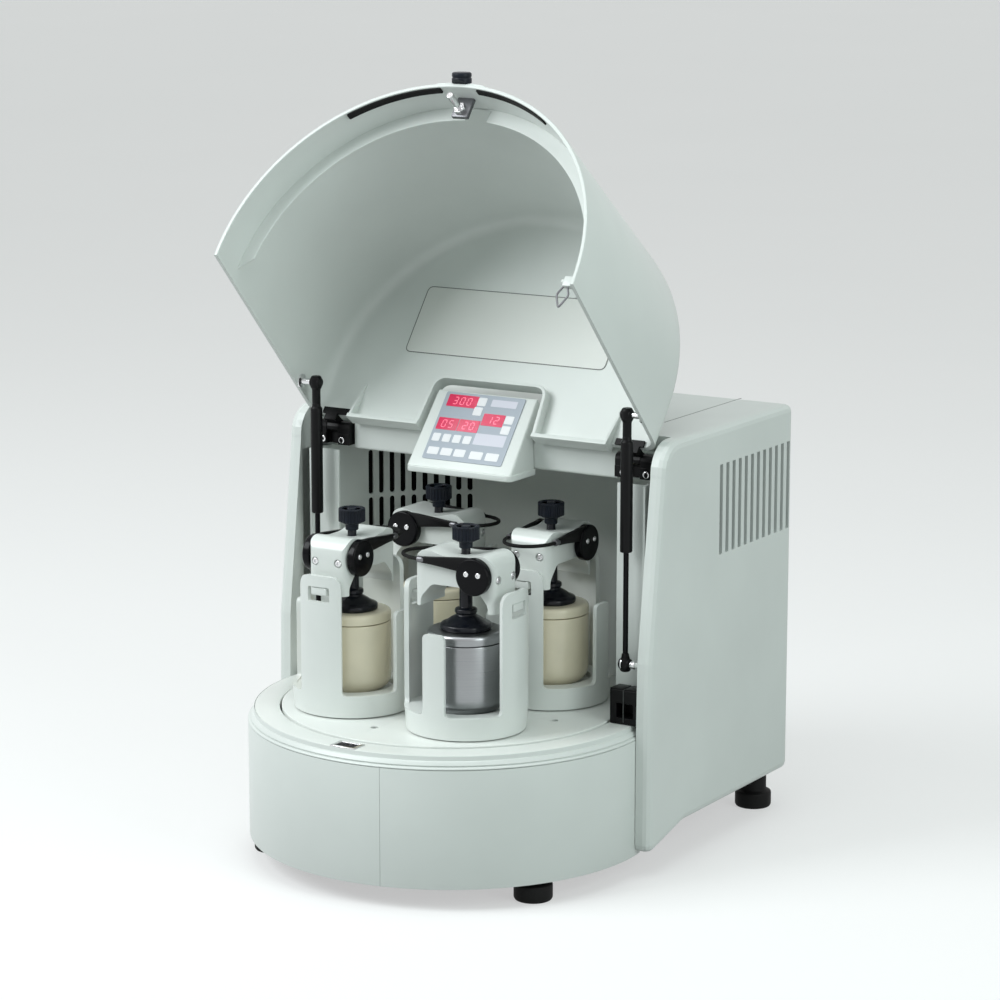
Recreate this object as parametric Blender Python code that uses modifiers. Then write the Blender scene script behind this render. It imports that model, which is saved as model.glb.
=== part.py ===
"""Planetary ball mill with four bowl holders, its safety lid standing open.

Metres, +Z up, front towards -Y. Pieces are placed about the axis of the sun disc, inside
an empty that puts the middle of the mill's footprint on the world origin.
"""
import math

import bmesh
import bpy
from mathutils import Matrix, Vector

# Fits
GAP = 0.0003            # between pieces that touch
RUNNING_GAP = 0.0006    # between pieces that turn or slide
MERGE = 0.00001         # points closer than this are one point
OVERRUN = 0.02          # how far a cutter passes the face it cuts

# Bowls
BOWL_RADIUS = 0.0502
BOWL_BOTTOM = 0.2248
BOWL_SEAM = 0.3185
BOWL_LID_TALL = 0.0135
BOWL_TOP = BOWL_SEAM + BOWL_LID_TALL
BOWL_WALL = 0.0075
BOWL_FLOOR = 0.010
BOWL_FOOT_ROUND = 0.020
SPIGOT_DROP = 0.004

# Clamp across each holder
BRIDGE_ABOVE_BOWL = 0.029
BRIDGE_TALL = 0.076
BRIDGE_END_TALL = 0.063
BRIDGE_ARCH_TALL = 0.030
BRIDGE_DISH = 0.008
BRIDGE_HALF = 0.029
BRIDGE_END_FACE = 0.060
BRIDGE_LEG_INSIDE = 0.050
BRIDGE_SHOULDER_X = 0.044
BRIDGE_SADDLE_X = 0.016
BRIDGE_ARCH_X = 0.030
BRIDGE_END_BOTTOM = BOWL_TOP + BRIDGE_ABOVE_BOWL
BRIDGE_END_TOP = BRIDGE_END_BOTTOM + BRIDGE_END_TALL
BRIDGE_TOP = BRIDGE_END_BOTTOM + BRIDGE_TALL
BRIDGE_SADDLE = BRIDGE_TOP - BRIDGE_DISH
BRIDGE_ARCH = BRIDGE_END_BOTTOM + BRIDGE_ARCH_TALL
LUG_HALF = 0.012
LUG_RISE = 0.003
LUG_TALL = 0.0105
LUG_BOTTOM = BRIDGE_END_BOTTOM + LUG_RISE
LUG_TOP = LUG_BOTTOM + LUG_TALL
PAD_RADIUS = 0.033
PAD_RIM = 0.006
PAD_CONE = 0.012
PAD_COLLAR_RADIUS = 0.0145
PAD_COLLAR = 0.007
PAD_NECK_RADIUS = 0.0085
PAD_NECK_ROOM = 0.005
PAD_NECK_TOP = BRIDGE_ARCH - PAD_NECK_ROOM
SPINDLE_RADIUS = 0.006
KNOB_RAISE = 0.0075               # from the saddle to the knob's collar
KNOB_COLLAR = 0.0115
KNOB_TALL = 0.0175
KNOB_COLLAR_RADIUS = 0.0085
KNOB_COLLAR_BOTTOM = BRIDGE_SADDLE + KNOB_RAISE
KNOB_BOTTOM = KNOB_COLLAR_BOTTOM + KNOB_COLLAR
KNOB_TOP = KNOB_BOTTOM + KNOB_TALL
KNOB_RADIUS = 0.0175
KNOB_DISH = 0.003
LEVER_DROP = 0.028
LEVER_X = 0.033
LEVER_Z = BRIDGE_TOP - LEVER_DROP
HUB_RADIUS = 0.024
HUB_THICK = 0.011
LEVER_AXLE = 0.0055
ARM_THICK = 0.005
ARM_TALL = 0.009
ARM_RISE = 0.014
ARM_END = -0.045
LOOP_TIP = -0.092
LOOP_WIRE = 0.0024

# Bowl holder, about its own axis
HOLDER_BOTTOM = 0.2035
HOLDER_RADIUS = 0.080
LUG_SHY = 0.0015
LUG_REACH = HOLDER_RADIUS - LUG_SHY
POST_WALL = 0.0060
POST_INSIDE = HOLDER_RADIUS - POST_WALL
CUP_ROOM = 0.0028
CUP_BORE = BOWL_RADIUS + CUP_ROOM
CUP_FLOOR = 0.2245
CUP_TOP = 0.233
CUP_FOOT_ROUND = 0.003
TALL_POST_HALF = 0.0315
TALL_POST_DROP = 0.047
TALL_POST_TOP = BRIDGE_TOP - TALL_POST_DROP
TALL_POST_ROUND = 0.014
SHORT_POST_HALF = 0.0160
SHORT_POST_RISE = 0.007
SHORT_POST_TOP = BOWL_TOP + SHORT_POST_RISE
SHORT_POST_ROUND = 0.008
WINDOW_HALF = 0.0165
WINDOW_BELOW_LUG = 0.008
WINDOW_ABOVE_LUG = 0.001
WINDOW_BOTTOM = LUG_BOTTOM - WINDOW_BELOW_LUG
WINDOW_TOP = LUG_TOP + WINDOW_ABOVE_LUG
HOLDER_SHAFT_RADIUS = 0.0125

# Housing
HOUSING_HALF = 0.290
CLAMP_HEADROOM = 0.0995           # from the clamp knobs to the top of the housing
HOUSING_TOP = KNOB_TOP + CLAMP_HEADROOM
HOUSING_BOTTOM = 0.054
PANEL_EDGE = 0.0205              # thick front edge of each side panel
PANEL_INSIDE = HOUSING_HALF - PANEL_EDGE
PANEL_SHEET = 0.0045            # the panel behind that edge
PANEL_EDGE_REAR = 0.048
HOUSING_ROUND = 0.010
TOP_SHEET = 0.006
TOP_FRONT = 0.100
TOP_LIP_TALL = 0.017
TOP_LIP_BOTTOM = HOUSING_TOP - TOP_LIP_TALL
SIDE_FRONT_LOW = 0.013         # front edge of the side panel, from the skirt up
SIDE_FRONT_LOW_Z = 0.194
SIDE_FRONT_MID = 0.015
SIDE_FRONT_MID_Z = 0.284
SIDE_FRONT_HIGH = 0.026
SIDE_FRONT_HIGH_DROP = 0.197
SIDE_FRONT_HIGH_Z = HOUSING_TOP - SIDE_FRONT_HIGH_DROP
SIDE_FRONT_TOP = 0.045
SIDE_FRONT_TOP_DROP = 0.044
SIDE_FRONT_TOP_Z = HOUSING_TOP - SIDE_FRONT_TOP_DROP
SIDE_FRONT_ROUND = 0.040
SKIRT_FRONT_Z = 0.034
SKIRT_HEEL_Y = 0.030
SKIRT_STEP_Y = 0.110
VENT_COUNT = 12
VENT_PITCH = 0.0176
VENT_WIDTH = 0.0085
VENT_BOTTOM_DROP = 0.170
VENT_BOTTOM = HOUSING_TOP - VENT_BOTTOM_DROP
VENT_TOP_DROP = 0.050
VENT_TOP = HOUSING_TOP - VENT_TOP_DROP

# Drum, deck and chamber
DRUM_SIDE_GAP = 0.0005
DRUM_RADIUS = PANEL_INSIDE - DRUM_SIDE_GAP
DRUM_WALL = 0.005
DRUM_BOTTOM = 0.028
DRUM_WALL_TOP = 0.184
DRUM_REAR = 0.030
RIM_STEP_IN = 0.0027
RIM_STEP_UP = 0.0055
RIM_WIDTH = 0.0085
DECK_RADIUS = DRUM_RADIUS - RIM_WIDTH
DECK_TOP = 0.200
DECK_THICK = 0.009
LEDGE_WIDTH = 0.012
LEDGE_THICK = 0.006
CHAMBER_WALL = 0.003
CHAMBER_FLANGE_WIDTH = 0.054      # front flanges of the chamber wall, from the side panels in
CHAMBER_FLANGE_X = PANEL_INSIDE - CHAMBER_FLANGE_WIDTH
CHAMBER_FLANGE_SET = 0.0055
CHAMBER_FLANGE_RISE = 0.002
SLOT_COLUMNS = 10
SLOT_FIRST_ANGLE = 57.4
SLOT_PITCH_ANGLE = 3.4
SLOT_WIDTH = 0.007
SLOT_LOW_BOTTOM_DROP = 0.179
SLOT_LOW_BOTTOM = HOUSING_TOP - SLOT_LOW_BOTTOM_DROP
SLOT_LOW_TOP_DROP = 0.1373
SLOT_LOW_TOP = HOUSING_TOP - SLOT_LOW_TOP_DROP
SLOT_HIGH_BOTTOM_DROP = 0.1327
SLOT_HIGH_BOTTOM = HOUSING_TOP - SLOT_HIGH_BOTTOM_DROP
SLOT_HIGH_TOP_DROP = 0.071
SLOT_HIGH_TOP = HOUSING_TOP - SLOT_HIGH_TOP_DROP

# Base, feet and drive
BASE_BOTTOM = 0.056
BASE_THICK = 0.008
BASE_DRUM_ROOM = 0.0025
BASE_RADIUS = DRUM_RADIUS - DRUM_WALL - BASE_DRUM_ROOM
BASE_SIDE_ROOM = 0.0075
BASE_HALF = PANEL_INSIDE - BASE_SIDE_ROOM
FOOT_RADIUS = 0.025
FOOT_NECK = 0.018
FOOT_PAD = 0.020
FOOT_STUD = 0.005
FRONT_FOOT_INSET = 0.068
FRONT_FOOT_X = DRUM_RADIUS - FRONT_FOOT_INSET
FRONT_FOOT_Y = -0.128
REAR_FOOT_INSET = 0.040
REAR_FOOT_X = HOUSING_HALF - REAR_FOOT_INSET
DISC_SHAFT_RADIUS = 0.0175
DISC_FLANGE_RADIUS = 0.040
DISC_FLANGE_THICK = 0.007
BEARING_FLANGE_RADIUS = 0.075
BEARING_FLANGE_THICK = 0.012
BEARING_NECK_RADIUS = 0.040
SUN_PULLEY_RADIUS = 0.048
PLANET_PULLEY_RADIUS = 0.0219
PULLEY_LOW = 0.134
PULLEY_HIGH = 0.178
PULLEY_LIP = 0.0015
BELT_WIDTH = 0.014
BELT_THICK = 0.0022
BELT_LEVELS = (0.1465, 0.1655)
MOTOR_RADIUS = 0.055
MOTOR_CLEAR = 0.0195             # from the chamber to the motor
MOTOR_Y = DECK_RADIUS + MOTOR_RADIUS + MOTOR_CLEAR
MOTOR_REAR_ROOM = 0.019
HOUSING_REAR = MOTOR_Y + MOTOR_RADIUS + MOTOR_REAR_ROOM
VENT_FIRST_FROM_REAR = 0.208
VENT_FIRST = HOUSING_REAR - VENT_FIRST_FROM_REAR
REAR_FOOT_FROM_REAR = 0.025
REAR_FOOT_Y = HOUSING_REAR - REAR_FOOT_FROM_REAR
BASE_REAR_ROOM = 0.013
BASE_REAR = HOUSING_REAR - BASE_REAR_ROOM
MOTOR_TOP = 0.300
MOTOR_SHAFT_RADIUS = 0.008
MOTOR_SHAFT_IN = 0.060
MOTOR_FLANGE_HALF = 0.050
MOTOR_FLANGE_THICK = 0.010
DRIVE_LOW = 0.032
DRIVE_HIGH = 0.050
DISC_PULLEY_RADIUS = 0.100
MOTOR_PULLEY_RADIUS = 0.035
REAR_PANEL_THICK = 0.004
REAR_PANEL_BOTTOM = 0.066
REAR_PANEL_INSET = 0.005
INLET_FROM_SIDE = 0.090
INLET_X = INLET_FROM_SIDE - HOUSING_HALF
INLET_Z = 0.120
INLET_WIDTH = 0.060
INLET_HEIGHT = 0.050
INLET_DEPTH = 0.030
SOCKET_DEPTH = 0.018
SOCKET_WIDTH = 0.026
SOCKET_HEIGHT = 0.020
INLET_MARGIN = 0.005
SWITCH_WIDTH = 0.014
SWITCH_HEIGHT = 0.026
SWITCH_DEPTH = 0.010
SWITCH_RISE = 0.0025
SWITCH_TILT = -7.0
FAN_RADIUS = 0.045
FAN_Z = 0.220
FAN_BARS = 7

# Sun disc
RING_WIDTH = 0.0352
DISC_RADIUS = DECK_RADIUS - RING_WIDTH
DISC_PROUD = 0.002
DISC_TOP = DECK_TOP + DISC_PROUD
DISC_THICK = 0.014
DISC_HOLE_RADIUS = 0.004
DISC_HOLE_CIRCLE = 0.165
HOLDER_CIRCLE = 0.131
FIRST_HOLDER_ANGLE = -50.0
FIRST_LEVER_ANGLE = 180.0
HOLDERS = 4

# Latch in the deck and lock block
LATCH_INSET = 0.01315
LATCH_Y = LATCH_INSET - DECK_RADIUS
LATCH_HALF_X = 0.016
LATCH_HALF_Y = 0.0109
LATCH_WALL = 0.002
LATCH_BOTTOM = 0.150
LATCH_PROUD = 0.0006
LOCK_WIDTH = 0.0415
LOCK_INSIDE = PANEL_INSIDE - LOCK_WIDTH
LOCK_FRONT = 0.0172
LOCK_REAR = 0.042
LOCK_TALL = 0.046
LOCK_TOP = DECK_TOP + LOCK_TALL
LOCK_POCKET_INNER = 0.0315
LOCK_POCKET_INSIDE = PANEL_INSIDE - LOCK_POCKET_INNER
LOCK_POCKET_OUTER = 0.0075
LOCK_POCKET_OUTSIDE = PANEL_INSIDE - LOCK_POCKET_OUTER
LOCK_POCKET_FLOOR = 0.009
LOCK_POCKET_BOTTOM = DECK_TOP + LOCK_POCKET_FLOOR
LOCK_POCKET_CEILING = 0.028
LOCK_POCKET_TOP = DECK_TOP + LOCK_POCKET_CEILING
LOCK_SEAM = 0.0012

# Crossbar and console
BAR_FRONT = 0.077
BAR_DEPTH = 0.036
BAR_BOTTOM_DROP = 0.057
BAR_BOTTOM = HOUSING_TOP - BAR_BOTTOM_DROP
BAR_TOP_DROP = 0.0205
BAR_TOP = HOUSING_TOP - BAR_TOP_DROP
BAR_FASCIA_INSET = 0.0865
BAR_FASCIA_HALF = HOUSING_HALF - BAR_FASCIA_INSET
BAR_HINGE_FRONT = 0.0835
BAR_ROUND = 0.003
CONSOLE_BOTTOM_HALF = 0.0800
CONSOLE_TOP_HALF = 0.0765
CONSOLE_FOOT_Y = 0.0150
CONSOLE_FOOT_Z = BAR_BOTTOM
CONSOLE_HEAD_Y = 0.0902
CONSOLE_RISE = 0.0354
CONSOLE_HEAD_Z = HOUSING_TOP + CONSOLE_RISE
CONSOLE_LIP_DROP = 0.0045
CONSOLE_LIP_Z = CONSOLE_FOOT_Z - CONSOLE_LIP_DROP
CONSOLE_LIP_IN = 0.003
CONSOLE_REAR = 0.0975
CONSOLE_ROUND = 0.004
KEYPAD_HALF = 0.060
KEYPAD_LENGTH = 0.103
KEYPAD_THICK = 0.0012

# Lid, in the pose that covers the chamber
HINGE_Y = 0.0744
HINGE_DROP = 0.0286
HINGE_Z = HOUSING_TOP - HINGE_DROP
LID_OPEN_ANGLE = 127.67
LID_INSET = 0.0015
LID_RADIUS = DRUM_RADIUS - LID_INSET
LID_WALL = 0.005
LID_LEDGE = 0.0240
LID_LEDGE_REAR = 0.004
LID_RIM_RISE = 0.004
LID_RIM_Z = DECK_TOP + LID_RIM_RISE
LID_LEDGE_RISE = 0.0485
LID_LEDGE_Z = LID_RIM_Z + LID_LEDGE_RISE
LID_LEDGE_THICK = 0.0035
LID_TOP_DROP = 0.0385
LID_TOP = HOUSING_TOP - LID_TOP_DROP
LID_CEILING = 0.006
LID_ROUND = 0.020
LID_RIM_REAR = 0.009
LID_HINGE_EDGE = 0.0650
LID_FLANGE_REAR = 0.0730
LID_FLANGE_THICK = 0.006
LID_FLANGE_TALL = 0.0215
LID_FLANGE_BOTTOM = LID_TOP - LID_FLANGE_TALL
LID_FLANGE_SIDE_ROOM = 0.0035
LID_FLANGE_HALF = BAR_FASCIA_HALF - LID_FLANGE_SIDE_ROOM
CUTOUT_FRONT = 0.000
CUTOUT_FRONT_HALF = 0.0830
CUTOUT_REAR_HALF = 0.0895
CUTOUT_LIP = 0.004
CUTOUT_LIP_DROP = 0.012
STRIKER_RADIUS = 0.004
STRIKER_OFFSET = 0.00485
STRIKER_Y = LATCH_Y + STRIKER_OFFSET
STRIKER_BOTTOM = 0.1930
STRIKER_TOP = 0.245
STRIKER_HEX = 0.009
STRIKER_HEX_TALL = 0.008
STRIKER_PLATE_Z = 0.230
STRIKER_PLATE_THICK = 0.005
STRIKER_PLATE_HALF = 0.012
HANDLE_RISE = 0.008               # from the rim; it leans down, upright on the open lid
HANDLE_Z = LID_RIM_Z + HANDLE_RISE
HANDLE_NECK_RADIUS = 0.0085
HANDLE_RADIUS = 0.0128
HANDLE_NECK = 0.0045
HANDLE_LENGTH = 0.0190
HANDLE_SEAT = 0.0090
HOOK_INSET = 0.0175
HOOK_X = LID_RADIUS - HOOK_INSET
HOOK_Z = 0.217
HOOK_WIRE = 0.0013
HOOK_HALF = 0.008
HOOK_REACH = 0.036
HOOK_TAB = 0.007
HOOK_TAB_THICK = 0.008

# Lid hinges
HINGE_BAR_ROOM = 0.002
HINGE_INSIDE = BAR_FASCIA_HALF + HINGE_BAR_ROOM
HINGE_PANEL_ROOM = 0.0095
HINGE_OUTSIDE = PANEL_INSIDE - HINGE_PANEL_ROOM
KNUCKLE_RADIUS = 0.0080
KNUCKLE_SHARE = 0.32            # share of the hinge's length in each outer knuckle
PIN_RADIUS = 0.003
HINGE_PLATE_FRONT = 0.0655
HINGE_PLATE_DROP = 0.0234
HINGE_PLATE_BOTTOM = HINGE_Z - HINGE_PLATE_DROP
LEAF_FRONT = 0.0560
LEAF_THICK = 0.0032

# Gas springs
SPRING_INSET = 0.0305
SPRING_X = PANEL_INSIDE - SPRING_INSET
SPRING_Y = 0.0383
SPRING_LOW_RISE = 0.029
SPRING_LOW_Z = LOCK_TOP + SPRING_LOW_RISE
SPRING_HIGH_RISE = 0.0645
SPRING_HIGH_Z = HINGE_Z + SPRING_HIGH_RISE
ROD_RADIUS = 0.0035
ROD_SHARE = 0.528                # share of the spring, stud to stud
ROD_LENGTH = (SPRING_HIGH_Z - SPRING_LOW_Z) * ROD_SHARE
TUBE_RADIUS = 0.0080
TUBE_NECK_RADIUS = 0.0060
TUBE_NECK = 0.030
TUBE_SHARE = 0.546               # the rod and tube overlap
TUBE_LENGTH = (SPRING_HIGH_Z - SPRING_LOW_Z) * TUBE_SHARE
TUBE_BORE = 0.0042
TUBE_FLOOR = 0.012
EYE_RADIUS = 0.0075
EYE_WIDTH = 0.0160
STUD_RADIUS = 0.004
STUD_SEAT_RADIUS = 0.007
STUD_SEAT = 0.004

# Facets round a full circle
ROUND_BIG = 56
ROUND_MID = 20
ROUND_SMALL = 12
LOOP_STEPS = 8
BELT_STEP_ANGLE = 18

scene_objects = list(bpy.data.objects)
for leftover in scene_objects:
    bpy.data.objects.remove(leftover)

parts = bpy.data.collections.new("planetary_ball_mill")
cutters = bpy.data.collections.new("cutters")
bpy.context.scene.collection.children.link(parts)
bpy.context.scene.collection.children.link(cutters)

MATERIALS = {
    "cream_shell": ((0.80, 0.81, 0.76), 0.45, 0.0),
    "cast_white": ((0.78, 0.81, 0.76), 0.40, 0.0),
    "black_plastic": ((0.02, 0.02, 0.025), 0.40, 0.0),
    "black_rubber": ((0.015, 0.015, 0.015), 0.80, 0.0),
    "dark_steel": ((0.25, 0.25, 0.26), 0.40, 1.0),
    "bright_steel": ((0.70, 0.70, 0.70), 0.25, 1.0),
    "cream_ceramic": ((0.82, 0.75, 0.58), 0.25, 0.0),
    "keypad_grey": ((0.55, 0.58, 0.62), 0.40, 0.0),
}


def material(name):
    """The Principled material of that name, made once."""
    found = bpy.data.materials.get(name)
    if found:
        return found
    colour, roughness, metallic = MATERIALS[name]
    found = bpy.data.materials.new(name)
    found.use_nodes = True
    shader = found.node_tree.nodes["Principled BSDF"]
    shader.inputs["Base Color"].default_value = (*colour, 1.0)
    shader.inputs["Roughness"].default_value = roughness
    shader.inputs["Metallic"].default_value = metallic
    return found


def empty(name, location, parent=None, turn=0.0, axis="Z"):
    """An axis or a frame that pieces hang from; turn is in degrees."""
    frame = bpy.data.objects.new(name, None)
    frame.location = location
    frame.rotation_euler = Matrix.Rotation(math.radians(turn), 4, axis).to_euler()
    frame.parent = parent
    parts.objects.link(frame)
    return frame


mill = empty("mill_frame", (0.0, -(HOUSING_REAR - DRUM_RADIUS) / 2, 0.0))


def as_object(name, mesh, parent, kind=None):
    """A piece of the mill, or a tool when it has no material kind."""
    piece = bpy.data.objects.new(name, mesh)
    piece.parent = parent
    parts.objects.link(piece)
    if kind:
        mesh.materials.clear()
        mesh.materials.append(material(kind))
    return piece


def shade(mesh):
    mesh.shade_smooth()
    mesh.set_sharp_from_angle(angle=math.radians(32))


def box(name, low, high, parent=mill, kind=None, rounding=0.0):
    """A block between two corners, with rounded edges where asked."""
    form = bmesh.new()
    centre = [(a + b) / 2 for a, b in zip(low, high)]
    size = [b - a for a, b in zip(low, high)]
    placing = Matrix.Translation(centre) @ Matrix.Diagonal((*size, 1.0))
    bmesh.ops.create_cube(form, size=1.0, matrix=placing)
    mesh = bpy.data.meshes.new(name)
    form.to_mesh(mesh)
    form.free()
    piece = as_object(name, mesh, parent, kind)
    if rounding:
        soften(piece, rounding)
    return piece


def soften(piece, width, segments=2, angle=40):
    bevel = piece.modifiers.new("soften", "BEVEL")
    bevel.width = width
    bevel.segments = segments
    bevel.limit_method = "ANGLE"
    bevel.angle_limit = math.radians(angle)


def rod(name, radius, start, end, parent=mill, kind=None, facets=ROUND_SMALL):
    """A cylinder from one point to another."""
    start = Vector(start)
    along = Vector(end) - start
    form = bmesh.new()
    turn = Vector((0.0, 0.0, 1.0)).rotation_difference(along).to_matrix().to_4x4()
    placing = Matrix.Translation(start + along / 2) @ turn
    bmesh.ops.create_cone(form, cap_ends=True, segments=facets, radius1=radius,
                          radius2=radius, depth=along.length, matrix=placing)
    mesh = bpy.data.meshes.new(name)
    form.to_mesh(mesh)
    form.free()
    shade(mesh)
    return as_object(name, mesh, parent, kind)


def turned(name, profile, parent=mill, kind=None, facets=ROUND_MID, ring=False):
    """A turned piece: (radius, height) points run down its outer side."""
    mesh = bpy.data.meshes.new(name)
    edges = [(i, i + 1) for i in range(len(profile) - 1)]
    if ring:
        edges.append((len(profile) - 1, 0))
    mesh.from_pydata([(radius, 0.0, height) for radius, height in profile], edges, [])
    piece = as_object(name, mesh, parent, kind)
    screw = piece.modifiers.new("turn", "SCREW")
    screw.axis = "Z"
    screw.steps = facets
    screw.render_steps = facets
    screw.use_merge_vertices = True
    screw.merge_threshold = MERGE
    screw.use_smooth_shade = False
    return piece


def arc(centre, radius, first, last, steps):
    """Points of a circular arc between two angles in degrees, both ends included."""
    points = []
    for i in range(steps + 1):
        angle = math.radians(first + (last - first) * i / steps)
        points.append((centre[0] + radius * math.cos(angle),
                       centre[1] + radius * math.sin(angle)))
    return points


def baked(piece):
    """The mesh of a piece with its modifiers carried out; the piece and its tools go."""
    leftovers = [piece]
    for thing in leftovers:
        leftovers += [m.object for m in thing.modifiers if m.type == "BOOLEAN"]
    bpy.context.view_layer.update()
    seen = piece.evaluated_get(bpy.context.evaluated_depsgraph_get())
    mesh = bpy.data.meshes.new_from_object(seen)
    for leftover in leftovers:
        bpy.data.objects.remove(leftover)
    return mesh


def slab(name, outline, low, high, across="X", parent=mill, kind=None):
    """A flat outline extruded from low to high along X, Y or Z.

    The outline is (y, z) points for X, (x, z) for Y and (x, y) for Z.
    """
    curve = bpy.data.curves.new(name, "CURVE")
    curve.dimensions = "2D"
    curve.fill_mode = "BOTH"
    curve.extrude = (high - low) / 2
    path = curve.splines.new("POLY")
    path.points.add(len(outline) - 1)
    for point, (a, b) in zip(path.points, outline):
        point.co = (a, b, 0.0, 1.0)
    path.use_cyclic_u = True
    flat = bpy.data.objects.new(name, curve)
    parts.objects.link(flat)
    mesh = baked(flat)
    middle = (low + high) / 2
    if across == "X":
        placing = Matrix(((0, 0, 1, middle), (1, 0, 0, 0), (0, 1, 0, 0), (0, 0, 0, 1)))
    elif across == "Y":
        placing = Matrix(((1, 0, 0, 0), (0, 0, -1, middle), (0, 1, 0, 0), (0, 0, 0, 1)))
    else:
        placing = Matrix.Translation((0.0, 0.0, middle))
    form = bmesh.new()
    form.from_mesh(mesh)
    bmesh.ops.remove_doubles(form, verts=form.verts, dist=MERGE)
    bmesh.ops.transform(form, matrix=placing, verts=form.verts)
    bmesh.ops.dissolve_limit(form, angle_limit=math.radians(0.5), verts=form.verts,
                             edges=form.edges)
    bmesh.ops.recalc_face_normals(form, faces=form.faces)
    form.to_mesh(mesh)
    form.free()
    return as_object(name, mesh, parent, kind)


def wire(name, points, radius, parent=mill, kind=None, closed=False):
    """A round wire along points, as a closed mesh."""
    curve = bpy.data.curves.new(name, "CURVE")
    curve.dimensions = "3D"
    curve.bevel_depth = radius
    curve.bevel_resolution = 1
    curve.use_fill_caps = True
    path = curve.splines.new("POLY")
    path.points.add(len(points) - 1)
    for point, place in zip(path.points, points):
        point.co = (*place, 1.0)
    path.use_cyclic_u = closed
    bare = bpy.data.objects.new(name, curve)
    parts.objects.link(bare)
    mesh = baked(bare)
    form = bmesh.new()
    form.from_mesh(mesh)
    bmesh.ops.remove_doubles(form, verts=form.verts, dist=MERGE)
    bmesh.ops.recalc_face_normals(form, faces=form.faces)
    form.to_mesh(mesh)
    form.free()
    return as_object(name, mesh, parent, kind)


def shape(piece, operation, tools):
    for tool in tools:
        boolean = piece.modifiers.new(operation.lower(), "BOOLEAN")
        boolean.operation = operation
        boolean.solver = "EXACT"
        boolean.object = tool
        parts.objects.unlink(tool)
        cutters.objects.link(tool)
        tool.hide_render = True
        tool.display_type = "WIRE"
    return piece


def cut(piece, *tools):
    return shape(piece, "DIFFERENCE", tools)


def add(piece, *tools):
    return shape(piece, "UNION", tools)


def within(piece, *tools):
    return shape(piece, "INTERSECT", tools)


def base_plate():
    """The steel plate that carries the bearing housing, the motor and the feet."""
    top = BASE_BOTTOM + BASE_THICK
    plate = rod("base_plate", BASE_RADIUS, (0.0, 0.0, BASE_BOTTOM), (0.0, 0.0, top),
                kind="dark_steel", facets=ROUND_BIG)
    add(plate, box("base_rear", (-BASE_HALF, 0.0, BASE_BOTTOM), (BASE_HALF, BASE_REAR, top)))
    low = BASE_BOTTOM - OVERRUN
    high = top + OVERRUN
    cut(plate, rod("shaft_hole", DISC_SHAFT_RADIUS + RUNNING_GAP, (0.0, 0.0, low),
                   (0.0, 0.0, high), facets=ROUND_MID))
    cut(plate, rod("motor_hole", MOTOR_SHAFT_RADIUS + RUNNING_GAP, (0.0, MOTOR_Y, low),
                   (0.0, MOTOR_Y, high)))
    for x, y in foot_places():
        cut(plate, rod("foot_hole", FOOT_STUD + GAP, (x, y, low), (x, y, high)))


def foot_places():
    return ((-FRONT_FOOT_X, FRONT_FOOT_Y), (FRONT_FOOT_X, FRONT_FOOT_Y),
            (-REAR_FOOT_X, REAR_FOOT_Y), (REAR_FOOT_X, REAR_FOOT_Y))


def feet():
    names = ("foot_front_left", "foot_front_right", "foot_rear_left", "foot_rear_right")
    stud_top = BASE_BOTTOM + BASE_THICK
    neck_top = BASE_BOTTOM - GAP
    profile = ((0.0, stud_top), (FOOT_STUD, stud_top), (FOOT_STUD, neck_top),
               (FOOT_NECK, neck_top), (FOOT_NECK, FOOT_PAD + GAP), (FOOT_RADIUS, FOOT_PAD),
               (FOOT_RADIUS, 0.0), (0.0, 0.0))
    for name, (x, y) in zip(names, foot_places()):
        foot = turned(name, profile, kind="black_rubber", facets=ROUND_SMALL)
        foot.location = (x, y, 0.0)


def drum():
    """The apron round the front, with two stepped ridges up to the deck."""
    inside = DRUM_RADIUS - DRUM_WALL
    first = DRUM_RADIUS - RIM_STEP_IN
    second = first - RIM_STEP_IN
    edge = DECK_RADIUS + GAP
    ledge_top = DECK_TOP - DECK_THICK - GAP
    one = DRUM_WALL_TOP + RIM_STEP_UP
    two = one + RIM_STEP_UP
    profile = ((edge, DECK_TOP), (second, two), (second, one + MERGE), (first, one),
               (first, DRUM_WALL_TOP + MERGE), (DRUM_RADIUS, DRUM_WALL_TOP),
               (DRUM_RADIUS, DRUM_BOTTOM), (inside, DRUM_BOTTOM),
               (inside, ledge_top - LEDGE_THICK), (edge - LEDGE_WIDTH, ledge_top - LEDGE_THICK),
               (edge - LEDGE_WIDTH, ledge_top), (edge, ledge_top))
    apron = turned("drum_apron", profile, kind="cream_shell", facets=ROUND_BIG, ring=True)
    reach = DRUM_RADIUS + OVERRUN
    cut(apron, box("drum_rear_cut", (-reach, DRUM_REAR, 0.0), (reach, reach, HOUSING_TOP)))
    cut(apron, latch_block("drum_latch_cut", GAP, LATCH_BOTTOM - OVERRUN, DECK_TOP + OVERRUN))


def latch_block(name, grow, bottom, top, kind=None):
    half_x = LATCH_HALF_X + grow
    half_y = LATCH_HALF_Y + grow
    return box(name, (-half_x, LATCH_Y - half_y, bottom), (half_x, LATCH_Y + half_y, top),
               kind=kind)


def deck():
    """The fixed ring round the sun disc."""
    inner = DISC_RADIUS + RUNNING_GAP + GAP
    bottom = DECK_TOP - DECK_THICK
    profile = ((DECK_RADIUS, DECK_TOP), (DECK_RADIUS, bottom), (inner, bottom),
               (inner, DECK_TOP))
    ring = turned("deck_ring", profile, kind="cream_shell", facets=ROUND_BIG, ring=True)
    cut(ring, latch_block("deck_latch_cut", GAP, LATCH_BOTTOM, DECK_TOP + OVERRUN))


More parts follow.
